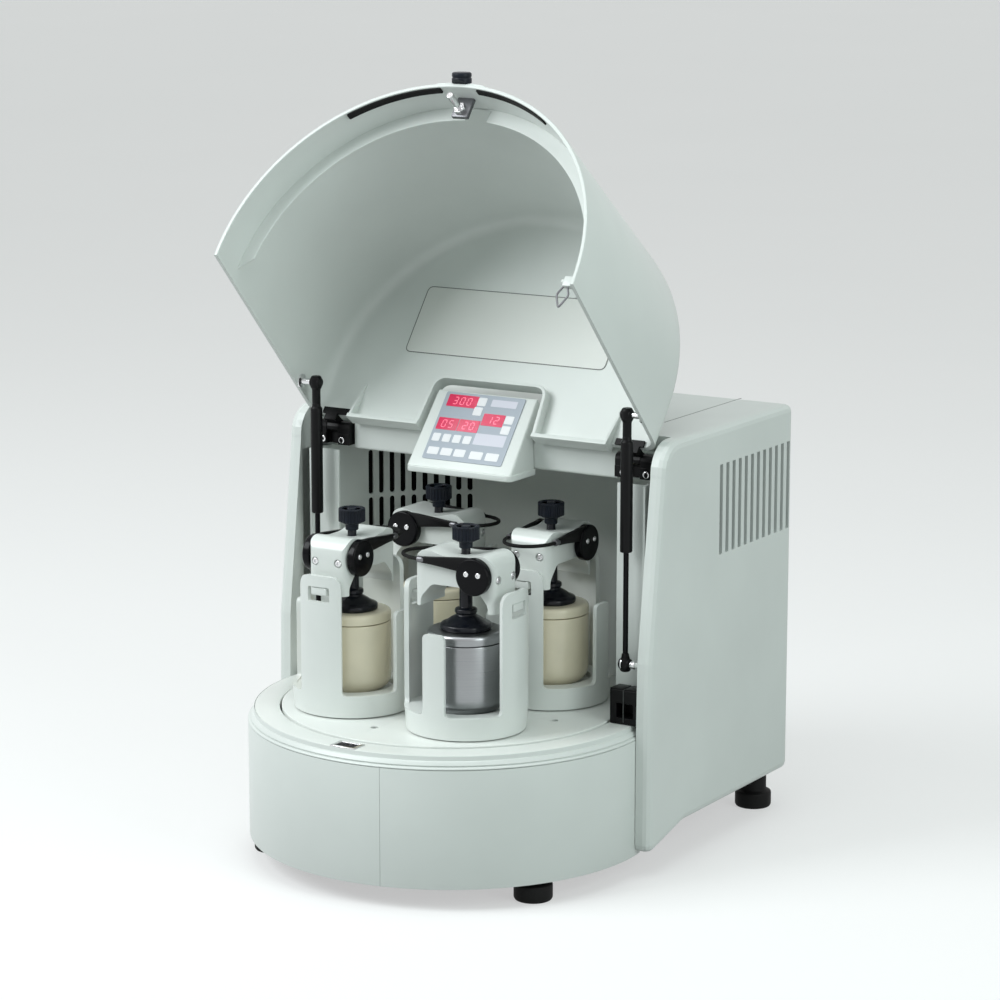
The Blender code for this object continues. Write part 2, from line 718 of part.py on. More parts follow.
def latch():
    """The catch under the deck that takes the lid's striker."""
    body = latch_block("lid_latch", 0.0, LATCH_BOTTOM, DECK_TOP + LATCH_PROUD, "bright_steel")
    floor = STRIKER_BOTTOM - STRIKER_HEX_TALL
    cut(body, latch_block("latch_pocket", -LATCH_WALL, floor, DECK_TOP + OVERRUN))


def chamber_front():
    """Front edges of the chamber wall, just behind the lid's gas-spring studs."""
    return closed_stud()[0] + STUD_RADIUS + RUNNING_GAP


def chamber():
    """The half-round wall behind the bowls, with two rows of air slots at the left."""
    bottom = BASE_BOTTOM + BASE_THICK + GAP
    top = BAR_BOTTOM - GAP
    inner = (DECK_RADIUS + GAP) / math.cos(math.pi / ROUND_BIG)
    outer = inner + CHAMBER_WALL
    profile = ((outer, top), (outer, bottom), (inner, bottom), (inner, top))
    wall = turned("chamber_wall", profile, kind="cream_shell", facets=ROUND_BIG, ring=True)
    reach = outer + OVERRUN
    cut(wall, box("chamber_front_cut", (-reach, -reach, 0.0), (reach, chamber_front(), HOUSING_TOP)))
    flange_front = chamber_front() + CHAMBER_FLANGE_SET
    flange_rear = flange_front + CHAMBER_WALL
    flange_reach = math.sqrt(inner ** 2 - flange_rear ** 2) + CHAMBER_WALL / 2
    for side in (-1, 1):
        ends = sorted((side * CHAMBER_FLANGE_X, side * flange_reach))
        add(wall, box("chamber_flange", (ends[0], flange_front, DECK_TOP + CHAMBER_FLANGE_RISE),
                      (ends[1], flange_rear, top)))
    for column in range(SLOT_COLUMNS):
        turn = SLOT_FIRST_ANGLE - SLOT_PITCH_ANGLE * column
        for low, high in ((SLOT_LOW_BOTTOM, SLOT_LOW_TOP), (SLOT_HIGH_BOTTOM, SLOT_HIGH_TOP)):
            slot = box("air_slot", (-SLOT_WIDTH / 2, inner - OVERRUN, low),
                       (SLOT_WIDTH / 2, outer + OVERRUN, high))
            slot.rotation_euler = (0.0, 0.0, math.radians(turn))
            cut(wall, slot)


def side_outline():
    """Side view of the housing, (y, z), from the bottom rear corner round the top."""
    arc_centre = (SIDE_FRONT_TOP + SIDE_FRONT_ROUND, HOUSING_TOP - SIDE_FRONT_ROUND)
    return ([(HOUSING_REAR, HOUSING_BOTTOM), (HOUSING_REAR, HOUSING_TOP)]
            + arc(arc_centre, SIDE_FRONT_ROUND, 90, 180, 6)
            + [(SIDE_FRONT_TOP, SIDE_FRONT_TOP_Z), (SIDE_FRONT_HIGH, SIDE_FRONT_HIGH_Z),
               (SIDE_FRONT_MID, SIDE_FRONT_MID_Z), (SIDE_FRONT_LOW, SIDE_FRONT_LOW_Z),
               (SIDE_FRONT_LOW, SKIRT_FRONT_Z), (SKIRT_HEEL_Y, SKIRT_FRONT_Z),
               (SKIRT_STEP_Y, HOUSING_BOTTOM)])


def housing():
    """The rear casing: two side panels and a top in one shell, open at front and rear."""
    casing = slab("rear_housing", side_outline(), -HOUSING_HALF, HOUSING_HALF,
                  kind="cream_shell")
    soften(casing, HOUSING_ROUND, segments=3, angle=60)
    ceiling = HOUSING_TOP - TOP_SHEET
    lip_rear = TOP_FRONT + TOP_SHEET
    far = HOUSING_REAR + OVERRUN
    front = SIDE_FRONT_LOW - OVERRUN
    well = ((front, -OVERRUN), (far, -OVERRUN), (far, ceiling), (lip_rear, ceiling),
            (lip_rear, TOP_LIP_BOTTOM), (TOP_FRONT, TOP_LIP_BOTTOM),
            (TOP_FRONT, HOUSING_TOP + OVERRUN), (front, HOUSING_TOP + OVERRUN))
    cut(casing, slab("housing_well", well, -PANEL_INSIDE, PANEL_INSIDE))
    sheet = HOUSING_HALF - PANEL_SHEET
    cut(casing, box("housing_sides", (-sheet, PANEL_EDGE_REAR, -OVERRUN),
                    (sheet, far, BAR_BOTTOM - BAR_ROUND)))
    cut(casing, box("housing_loft", (-sheet, BAR_FRONT + BAR_DEPTH + OVERRUN, HOUSING_BOTTOM),
                    (sheet, far, ceiling - HOUSING_ROUND)))
    reach = HOUSING_HALF + OVERRUN
    stud_length = PANEL_INSIDE - SPRING_X - EYE_WIDTH / 2 - GAP
    for side in (-1, 1):
        for column in range(VENT_COUNT):
            y = VENT_FIRST + VENT_PITCH * column
            ends = sorted((side * PANEL_INSIDE, side * reach))
            cut(casing, box("side_vent", (ends[0], y - VENT_WIDTH / 2, VENT_BOTTOM),
                            (ends[1], y + VENT_WIDTH / 2, VENT_TOP)))
    for side in (-1, 1):
        stud = turned("spring_stud", (
            (0.0, STUD_SEAT), (STUD_SEAT_RADIUS, STUD_SEAT), (STUD_SEAT_RADIUS, -STUD_SEAT),
            (STUD_RADIUS, -STUD_SEAT), (STUD_RADIUS, -stud_length), (0.0, -stud_length)),
            facets=ROUND_SMALL)
        stud.location = (side * PANEL_INSIDE, SPRING_Y, SPRING_LOW_Z)
        stud.rotation_euler = (0.0, side * math.pi / 2, 0.0)
        add(casing, stud)


def rear_panel():
    """The plate that closes the back, with a fan grille and a cut-out for the inlet."""
    half = HOUSING_HALF - PANEL_SHEET - GAP
    rear = HOUSING_REAR - REAR_PANEL_INSET
    front = rear - REAR_PANEL_THICK
    top = HOUSING_TOP - TOP_SHEET - HOUSING_ROUND - GAP
    plate = box("rear_panel", (-half, front, REAR_PANEL_BOTTOM), (half, rear, top),
                kind="cream_shell")
    cut(plate, box("inlet_cut", (INLET_X - INLET_WIDTH / 2, front - OVERRUN,
                                 INLET_Z - INLET_HEIGHT / 2),
                   (INLET_X + INLET_WIDTH / 2, rear + OVERRUN, INLET_Z + INLET_HEIGHT / 2)))
    pitch = 2 * FAN_RADIUS / FAN_BARS
    for bar in range(FAN_BARS):
        offset = pitch * (bar - (FAN_BARS - 1) / 2)
        half_width = math.sqrt(FAN_RADIUS ** 2 - offset ** 2)
        cut(plate, box("fan_slot", (-half_width, front - OVERRUN, FAN_Z + offset - pitch / 4),
                       (half_width, rear + OVERRUN, FAN_Z + offset + pitch / 4)))


def inlet():
    """Mains inlet with its three-pin socket, and the rocker switch beside it."""
    rear = HOUSING_REAR - REAR_PANEL_INSET
    half_x = INLET_WIDTH / 2 - GAP
    half_z = INLET_HEIGHT / 2 - GAP
    front = rear - INLET_DEPTH
    body = box("power_inlet", (INLET_X - half_x, front, INLET_Z - half_z),
               (INLET_X + half_x, rear, INLET_Z + half_z), kind="black_plastic")
    socket_x = INLET_X - half_x + INLET_MARGIN
    cut(body, box("socket", (socket_x, rear - SOCKET_DEPTH, INLET_Z - SOCKET_HEIGHT / 2),
                  (socket_x + SOCKET_WIDTH, rear + OVERRUN, INLET_Z + SOCKET_HEIGHT / 2)))
    switch_x = INLET_X + half_x - INLET_MARGIN - SWITCH_WIDTH / 2
    well = SWITCH_WIDTH / 2 + RUNNING_GAP
    tall = SWITCH_HEIGHT / 2 + SWITCH_RISE
    cut(body, box("switch_well", (switch_x - well, rear - SWITCH_DEPTH - SWITCH_RISE,
                                  INLET_Z - tall),
                  (switch_x + well, rear + OVERRUN, INLET_Z + tall)))
    pivot_y = rear - SWITCH_RISE
    axis = empty("switch_axis", (switch_x, pivot_y, INLET_Z), mill, SWITCH_TILT, "X")
    half = SWITCH_WIDTH / 2
    tip = SWITCH_HEIGHT / 2
    face = SWITCH_RISE
    low = -SWITCH_DEPTH / 2
    rocker = ((low, low / 2), (-3 * face / 2, -tip), (face / 2, -tip), (-face / 2, 0.0),
              (face / 2, tip), (-3 * face / 2, tip), (low, -low / 2))
    slab("power_switch", rocker, -half, half, parent=axis, kind="black_plastic")


def bearing():
    """Fixed bearing housing of the disc shaft, with the sun pulley round its head."""
    base = BASE_BOTTOM + BASE_THICK + GAP
    bore = DISC_SHAFT_RADIUS + RUNNING_GAP
    lip = SUN_PULLEY_RADIUS + PULLEY_LIP
    profile = ((SUN_PULLEY_RADIUS, PULLEY_HIGH), (SUN_PULLEY_RADIUS, PULLEY_LOW),
               (lip, PULLEY_LOW), (lip, PULLEY_LOW - PULLEY_LIP),
               (BEARING_NECK_RADIUS, PULLEY_LOW - PULLEY_LIP),
               (BEARING_NECK_RADIUS, base + BEARING_FLANGE_THICK),
               (BEARING_FLANGE_RADIUS, base + BEARING_FLANGE_THICK),
               (BEARING_FLANGE_RADIUS, base), (bore, base), (bore, PULLEY_HIGH))
    turned("bearing_housing", profile, kind="dark_steel", ring=True)


def belt(name, stations, level, parent, kind="black_rubber"):
    """A flat belt round pulleys given as (centre, radius, first angle, last angle)."""
    def loop(extra):
        points = []
        for centre, radius, first, last in stations:
            steps = max(2, round((last - first) / BELT_STEP_ANGLE))
            outside = math.cos(math.radians((last - first) / steps / 2))
            points += arc(centre, (radius + extra) / outside, first, last, steps)
        return points
    low = level - BELT_WIDTH / 2
    high = level + BELT_WIDTH / 2
    band = slab(name, loop(RUNNING_GAP + BELT_THICK), low, high, "Z", parent, kind)
    cut(band, slab(name + "_inside", loop(RUNNING_GAP), low - OVERRUN, high + OVERRUN, "Z",
                   parent))
    return band


def drive():
    """Motor, its pulley and the belt to the disc shaft, under the base plate."""
    base = BASE_BOTTOM + BASE_THICK + GAP
    motor = rod("motor", MOTOR_RADIUS, (0.0, MOTOR_Y, base), (0.0, MOTOR_Y, MOTOR_TOP),
                kind="dark_steel", facets=ROUND_MID)
    half = MOTOR_FLANGE_HALF
    add(motor, box("motor_flange", (-half, MOTOR_Y - half, base),
                   (half, MOTOR_Y + half, base + MOTOR_FLANGE_THICK)))
    bore = MOTOR_SHAFT_RADIUS + RUNNING_GAP
    shaft_top = base + MOTOR_SHAFT_IN
    cut(motor, rod("motor_bore", bore, (0.0, MOTOR_Y, base - OVERRUN),
                   (0.0, MOTOR_Y, shaft_top + GAP)))
    axis = empty("motor_axis", (0.0, MOTOR_Y, 0.0), mill)
    turned("motor_pulley", pulley_profile(MOTOR_PULLEY_RADIUS, MOTOR_SHAFT_RADIUS, shaft_top),
           parent=axis, kind="dark_steel", facets=ROUND_MID)
    lean = math.degrees(math.asin((DISC_PULLEY_RADIUS - MOTOR_PULLEY_RADIUS) / MOTOR_Y))
    stations = (((0.0, MOTOR_Y), MOTOR_PULLEY_RADIUS, lean, 180 - lean),
                ((0.0, 0.0), DISC_PULLEY_RADIUS, 180 - lean, 360 + lean))
    belt("drive_belt", stations, (DRIVE_LOW + DRIVE_HIGH) / 2, mill)


def pulley_profile(radius, shaft, shaft_top):
    """Half-section of a pulley at the foot of a shaft."""
    neck = BASE_BOTTOM - GAP
    return ((0.0, shaft_top), (shaft, shaft_top), (shaft, neck), (shaft + PULLEY_LIP, neck),
            (shaft + PULLEY_LIP, DRIVE_HIGH), (radius, DRIVE_HIGH), (radius, DRIVE_LOW),
            (0.0, DRIVE_LOW))


def disc():
    """The sun disc with its shaft and drive pulley; returns the empty on its axis."""
    axis = empty("disc_axis", (0.0, 0.0, 0.0), mill)
    bottom = DISC_TOP - DISC_THICK
    plate = rod("sun_disc", DISC_RADIUS, (0.0, 0.0, bottom), (0.0, 0.0, DISC_TOP), axis,
                "cream_shell", ROUND_BIG)
    low = bottom - OVERRUN
    high = DISC_TOP + OVERRUN
    for index in range(HOLDERS):
        x, y = on_circle(HOLDER_CIRCLE, FIRST_HOLDER_ANGLE + 360 / HOLDERS * index)
        cut(plate, rod("holder_bore", HOLDER_SHAFT_RADIUS + RUNNING_GAP, (x, y, low),
                       (x, y, high), axis, facets=ROUND_MID))
        x, y = on_circle(DISC_HOLE_CIRCLE, FIRST_HOLDER_ANGLE + 360 / HOLDERS * (index - 0.5))
        cut(plate, rod("disc_hole", DISC_HOLE_RADIUS, (x, y, low), (x, y, high), axis))
    seat = bottom - GAP
    flange = seat - DISC_FLANGE_THICK
    profile = list(pulley_profile(DISC_PULLEY_RADIUS, DISC_SHAFT_RADIUS, flange))
    profile[:2] = [(0.0, seat), (DISC_FLANGE_RADIUS, seat), (DISC_FLANGE_RADIUS, flange),
                   (DISC_SHAFT_RADIUS, flange)]
    turned("disc_shaft", profile, axis, "dark_steel")
    for name, level, first in zip(("planet_belt_low", "planet_belt_high"), BELT_LEVELS, (0, 1)):
        planet_belt(name, level, FIRST_HOLDER_ANGLE + 360 / HOLDERS * first, axis)
    return axis


def on_circle(radius, degrees):
    angle = math.radians(degrees)
    return radius * math.cos(angle), radius * math.sin(angle)


def planet_belt(name, level, direction, axis):
    """A belt round two opposite planet pulleys and the sun pulley between them."""
    lean = math.degrees(math.asin((SUN_PULLEY_RADIUS - PLANET_PULLEY_RADIUS) / HOLDER_CIRCLE))
    stations = []
    for turn in (direction, direction + 180):
        stations.append((on_circle(HOLDER_CIRCLE, turn), PLANET_PULLEY_RADIUS,
                         turn - 90 + lean, turn + 90 - lean))
        stations.append(((0.0, 0.0), SUN_PULLEY_RADIUS, turn + 90 - lean, turn + 90 + lean))
    belt(name, stations, level, axis)


def holder_mesh():
    """Cup, posts and shaft of one bowl holder, in one casting."""
    shaft = HOLDER_SHAFT_RADIUS
    body = turned("holder", (
        (0.0, CUP_FLOOR), (CUP_BORE, CUP_FLOOR), (CUP_BORE, CUP_TOP),
        (HOLDER_RADIUS, CUP_TOP), (HOLDER_RADIUS, HOLDER_BOTTOM + CUP_FOOT_ROUND),
        (HOLDER_RADIUS - CUP_FOOT_ROUND, HOLDER_BOTTOM), (shaft, HOLDER_BOTTOM),
        (shaft, PULLEY_HIGH), (PLANET_PULLEY_RADIUS, PULLEY_HIGH),
        (PLANET_PULLEY_RADIUS, PULLEY_LOW), (0.0, PULLEY_LOW)), None)
    join_low = (CUP_FLOOR + CUP_TOP) / 2
    posts = turned("posts", ((HOLDER_RADIUS, TALL_POST_TOP), (HOLDER_RADIUS, join_low),
                             (POST_INSIDE, join_low), (POST_INSIDE, TALL_POST_TOP)),
                   None, ring=True)
    reach = HOLDER_RADIUS + OVERRUN
    tall = slab("tall_tab", tab(TALL_POST_HALF, join_low - OVERRUN, TALL_POST_TOP,
                                TALL_POST_ROUND), -reach, reach, "X", None)
    short = slab("short_tab", tab(SHORT_POST_HALF, join_low - OVERRUN, SHORT_POST_TOP,
                                  SHORT_POST_ROUND), -reach, reach, "Y", None)
    add(tall, short)
    within(posts, tall)
    cut(posts, box("window", (-reach, -WINDOW_HALF, WINDOW_BOTTOM),
                   (reach, WINDOW_HALF, WINDOW_TOP), None))
    add(body, posts)
    return finished_mesh(body, "bowl_holder", "cast_white")


def tab(half, low, high, rounding):
    """A post's outline: straight sides and rounded top corners."""
    right = arc((half - rounding, high - rounding), rounding, 0, 90, 5)
    left = arc((rounding - half, high - rounding), rounding, 90, 180, 5)
    return [(-half, low), (half, low)] + right + left


def finished_mesh(piece, name, kind):
    """Bake a piece that several objects share, and give it its finish."""
    mesh = baked(piece)
    mesh.name = name
    mesh.materials.clear()
    mesh.materials.append(material(kind))
    shade(mesh)
    return mesh


def bowl_mesh():
    inner = BOWL_RADIUS - BOWL_WALL
    floor = BOWL_BOTTOM + BOWL_FLOOR
    centre = (BOWL_RADIUS - BOWL_FOOT_ROUND, BOWL_BOTTOM + BOWL_FOOT_ROUND)
    outside = arc(centre, BOWL_FOOT_ROUND, 0, -90, 3)
    profile = ([(0.0, floor), (inner - BOWL_FLOOR, floor), (inner, floor + BOWL_FLOOR),
                (inner, BOWL_SEAM), (BOWL_RADIUS, BOWL_SEAM)] + outside + [(0.0, BOWL_BOTTOM)])
    return finished_mesh(turned("bowl", profile, None), "bowl", "cream_ceramic")


def bowl_lid_mesh():
    bottom = BOWL_SEAM + GAP
    spigot = BOWL_RADIUS - BOWL_WALL - RUNNING_GAP
    profile = ((0.0, BOWL_TOP), (BOWL_RADIUS, BOWL_TOP), (BOWL_RADIUS, bottom),
               (spigot, bottom), (spigot, bottom - SPIGOT_DROP), (0.0, bottom - SPIGOT_DROP))
    return finished_mesh(turned("bowl_lid", profile, None), "bowl_lid", "cream_ceramic")


def bridge_mesh():
    """The yoke between the tall posts, with a threaded boss and lugs in their windows."""
    end = BRIDGE_END_FACE
    outline = ((BRIDGE_LEG_INSIDE, BRIDGE_END_BOTTOM), (end, BRIDGE_END_BOTTOM),
               (end, BRIDGE_END_TOP), (BRIDGE_SHOULDER_X, BRIDGE_TOP),
               (BRIDGE_SADDLE_X, BRIDGE_SADDLE), (-BRIDGE_SADDLE_X, BRIDGE_SADDLE),
               (-BRIDGE_SHOULDER_X, BRIDGE_TOP), (-end, BRIDGE_END_TOP),
               (-end, BRIDGE_END_BOTTOM), (-BRIDGE_LEG_INSIDE, BRIDGE_END_BOTTOM),
               (-BRIDGE_ARCH_X, BRIDGE_ARCH), (BRIDGE_ARCH_X, BRIDGE_ARCH))
    body = slab("bridge", outline, -BRIDGE_HALF, BRIDGE_HALF, "Y", None)
    high = BRIDGE_TOP + OVERRUN
    low = BRIDGE_END_BOTTOM - OVERRUN
    add(body, box("lugs", (-LUG_REACH, -LUG_HALF, LUG_BOTTOM),
                  (LUG_REACH, LUG_HALF, LUG_TOP), None))
    cut(body, rod("under_arch", BRIDGE_ARCH_X, (0.0, 0.0, low), (0.0, 0.0, BRIDGE_ARCH), None,
                  facets=ROUND_MID))
    cut(body, rod("spindle_bore", SPINDLE_RADIUS + RUNNING_GAP, (0.0, 0.0, low),
                  (0.0, 0.0, high), None))
    cut(body, rod("axle_bore", LEVER_AXLE + RUNNING_GAP, (LEVER_X, -end, LEVER_Z),
                  (LEVER_X, end, LEVER_Z), None))
    return finished_mesh(body, "clamp_bridge", "cast_white")


def spindle_mesh():
    """Pressure pad, screw and knob of a clamp."""
    pad = BOWL_TOP + GAP
    cone = pad + PAD_RIM + PAD_CONE
    profile = ((0.0, KNOB_TOP - KNOB_DISH), (KNOB_COLLAR_RADIUS, KNOB_TOP - KNOB_DISH),
               (KNOB_RADIUS - KNOB_DISH, KNOB_TOP), (KNOB_RADIUS, KNOB_TOP - KNOB_DISH),
               (KNOB_RADIUS, KNOB_BOTTOM), (KNOB_COLLAR_RADIUS, KNOB_BOTTOM),
               (KNOB_COLLAR_RADIUS, KNOB_COLLAR_BOTTOM), (SPINDLE_RADIUS, KNOB_COLLAR_BOTTOM),
               (SPINDLE_RADIUS, PAD_NECK_TOP), (PAD_NECK_RADIUS, PAD_NECK_TOP),
               (PAD_NECK_RADIUS, cone + PAD_COLLAR), (PAD_COLLAR_RADIUS, cone + PAD_COLLAR),
               (PAD_COLLAR_RADIUS, cone), (PAD_RADIUS, pad + PAD_RIM), (PAD_RADIUS, pad),
               (0.0, pad))
    return finished_mesh(turned("spindle", profile, None, facets=ROUND_SMALL), "clamp_spindle",
                         "black_plastic")


def lever_mesh():
    """Two hubs on one axle, an arm from each, and the wire loop that joins the arms."""
    inner = BRIDGE_HALF + RUNNING_GAP
    outer = inner + HUB_THICK
    arm_middle = (inner + outer) / 2
    body = rod("lever", LEVER_AXLE, (LEVER_X, -outer, LEVER_Z), (LEVER_X, outer, LEVER_Z),
               None)
    arm_z = LEVER_Z + ARM_RISE
    for side in (-1, 1):
        add(body, rod("hub", HUB_RADIUS, (LEVER_X, side * inner, LEVER_Z),
                      (LEVER_X, side * outer, LEVER_Z), None, facets=ROUND_MID))
        middle = side * arm_middle
        add(body, box("arm", (ARM_END, middle - ARM_THICK / 2, arm_z - ARM_TALL / 2),
                      (LEVER_X, middle + ARM_THICK / 2, arm_z + ARM_TALL / 2), None))
    points = []
    for step in range(LOOP_STEPS + 1):
        angle = math.pi * step / LOOP_STEPS
        points.append((ARM_END + (LOOP_TIP - ARM_END) * math.sin(angle),
                       arm_middle * math.cos(angle), arm_z))
    points = [(0.0, arm_middle, arm_z)] + points + [(0.0, -arm_middle, arm_z)]
    add(body, wire("loop", points, LOOP_WIRE, None))
    return finished_mesh(body, "clamp_lever", "black_plastic")


def stations(disc_axis):
    """Four holders on the disc, each with its bowl, lid, bridge, spindle and lever."""
    meshes = (("bowl_holder", holder_mesh()), ("bowl", bowl_mesh()),
              ("bowl_lid", bowl_lid_mesh()), ("clamp_bridge", bridge_mesh()),
              ("clamp_spindle", spindle_mesh()), ("clamp_lever", lever_mesh()))
    for index, place in enumerate(("front", "right", "rear", "left")):
        x, y = on_circle(HOLDER_CIRCLE, FIRST_HOLDER_ANGLE + 360 / HOLDERS * index)
        turn = FIRST_LEVER_ANGLE + 360 / HOLDERS * index - 180
        axis = empty("holder_axis_" + place, (x, y, 0.0), disc_axis, turn)
        for name, mesh in meshes:
            if index == 0 and name in ("bowl", "bowl_lid"):
                mesh = mesh.copy()
                mesh.materials[0] = material("bright_steel")
            piece = bpy.data.objects.new(name + "_" + place, mesh)
            piece.parent = axis
            parts.objects.link(piece)


def crossbar():
    """The bar under the console that carries the lid hinges."""
    half = PANEL_INSIDE - GAP
    rear = BAR_FRONT + BAR_DEPTH
    bar = box("crossbar", (-half, BAR_FRONT, BAR_BOTTOM), (half, rear, BAR_TOP),
              kind="cream_shell", rounding=BAR_ROUND)
    for side in (-1, 1):
        ends = sorted((side * BAR_FASCIA_HALF, side * (half + OVERRUN)))
        cut(bar, box("bar_notch", (ends[0], BAR_FRONT - OVERRUN, BAR_BOTTOM - OVERRUN),
                     (ends[1], BAR_HINGE_FRONT, BAR_TOP + OVERRUN)))


def console():
    """The sloping control box on the crossbar, narrower at its head, and its keypad."""
    front_rear = BAR_FRONT - GAP
    above_bar = BAR_TOP + GAP
    slope = math.atan2(CONSOLE_HEAD_Z - CONSOLE_FOOT_Z, CONSOLE_HEAD_Y - CONSOLE_FOOT_Y)
    drop = (CONSOLE_REAR - CONSOLE_HEAD_Y) / math.tan(slope)
    outline = ((CONSOLE_FOOT_Y, CONSOLE_FOOT_Z), (CONSOLE_FOOT_Y + CONSOLE_LIP_IN, CONSOLE_LIP_Z),
               (front_rear, CONSOLE_LIP_Z), (front_rear, above_bar), (CONSOLE_REAR, above_bar),
               (CONSOLE_REAR, CONSOLE_HEAD_Z - drop), (CONSOLE_HEAD_Y, CONSOLE_HEAD_Z))
    body = slab("console_housing", outline, -CONSOLE_BOTTOM_HALF, CONSOLE_BOTTOM_HALF,
                kind="cream_shell")
    taper = (CONSOLE_BOTTOM_HALF - CONSOLE_TOP_HALF) / (CONSOLE_HEAD_Z - CONSOLE_LIP_Z)
    for vertex in body.data.vertices:
        narrow = CONSOLE_BOTTOM_HALF - taper * (vertex.co.z - CONSOLE_LIP_Z)
        vertex.co.x = math.copysign(narrow, vertex.co.x)
    soften(body, CONSOLE_ROUND)
    middle_y = (CONSOLE_FOOT_Y + CONSOLE_HEAD_Y) / 2
    middle_z = (CONSOLE_FOOT_Z + CONSOLE_HEAD_Z) / 2
    plate = box("keypad_panel", (-KEYPAD_HALF, -KEYPAD_LENGTH / 2, GAP),
                (KEYPAD_HALF, KEYPAD_LENGTH / 2, GAP + KEYPAD_THICK), kind="keypad_grey")
    plate.location = (0.0, middle_y, middle_z)
    plate.rotation_euler = (slope, 0.0, 0.0)


def lock():
    """The black block at the right that takes the lid's hook."""
    outside = PANEL_INSIDE - GAP
    bottom = DECK_TOP + GAP
    block = box("lock_block", (LOCK_INSIDE, LOCK_FRONT, bottom), (outside, LOCK_REAR, LOCK_TOP),
                kind="black_plastic", rounding=LOCK_SEAM)
    cut(block, box("lock_pocket", (LOCK_POCKET_INSIDE, LOCK_FRONT - OVERRUN, LOCK_POCKET_BOTTOM),
                   (LOCK_POCKET_OUTSIDE, LOCK_REAR - LATCH_WALL, LOCK_POCKET_TOP)))


def hinge_bases():
    """Fixed half of each lid hinge: plate, two knuckles and the pin."""
    length = HINGE_OUTSIDE - HINGE_INSIDE
    knuckle = length * KNUCKLE_SHARE
    for side, name in ((-1, "hinge_base_left"), (1, "hinge_base_right")):
        inside = side * HINGE_INSIDE
        outside = side * HINGE_OUTSIDE
        ends = sorted((inside, outside))
        top = HINGE_Z - KNUCKLE_RADIUS - RUNNING_GAP
        plate = box(name, (ends[0], HINGE_PLATE_FRONT, HINGE_PLATE_BOTTOM),
                    (ends[1], BAR_HINGE_FRONT - GAP, top), kind="black_plastic")
        room = sorted((inside + side * knuckle, outside - side * knuckle))
        cut(plate, box("arm_room", (room[0], HINGE_PLATE_FRONT - OVERRUN,
                                    HINGE_PLATE_BOTTOM - OVERRUN),
                       (room[1], HINGE_Y + RUNNING_GAP, top + OVERRUN)))
        for start, end in ((inside, inside + side * knuckle), (outside - side * knuckle, outside)):
            span = sorted((start, end))
            add(plate, rod("knuckle", KNUCKLE_RADIUS, (start, HINGE_Y, HINGE_Z),
                           (end, HINGE_Y, HINGE_Z)))
            add(plate, box("knuckle_foot", (span[0], HINGE_Y - KNUCKLE_RADIUS, HINGE_PLATE_BOTTOM),
                           (span[1], HINGE_Y + KNUCKLE_RADIUS, HINGE_Z)))
        add(plate, rod("pin", PIN_RADIUS, (inside + side * PIN_RADIUS, HINGE_Y, HINGE_Z),
                       (outside - side * PIN_RADIUS, HINGE_Y, HINGE_Z)))


def lid_frame():
    """The empty on the hinge line, turned so that what hangs from it stands open."""
    return empty("lid_axis", (0.0, HINGE_Y, HINGE_Z), mill, -LID_OPEN_ANGLE, "X")


def plan(radius, rear):
    """Half round in front, straight sides behind, as (x, y)."""
    return arc((0.0, 0.0), radius, 180, 360, ROUND_BIG // 2) + [(radius, rear), (-radius, rear)]


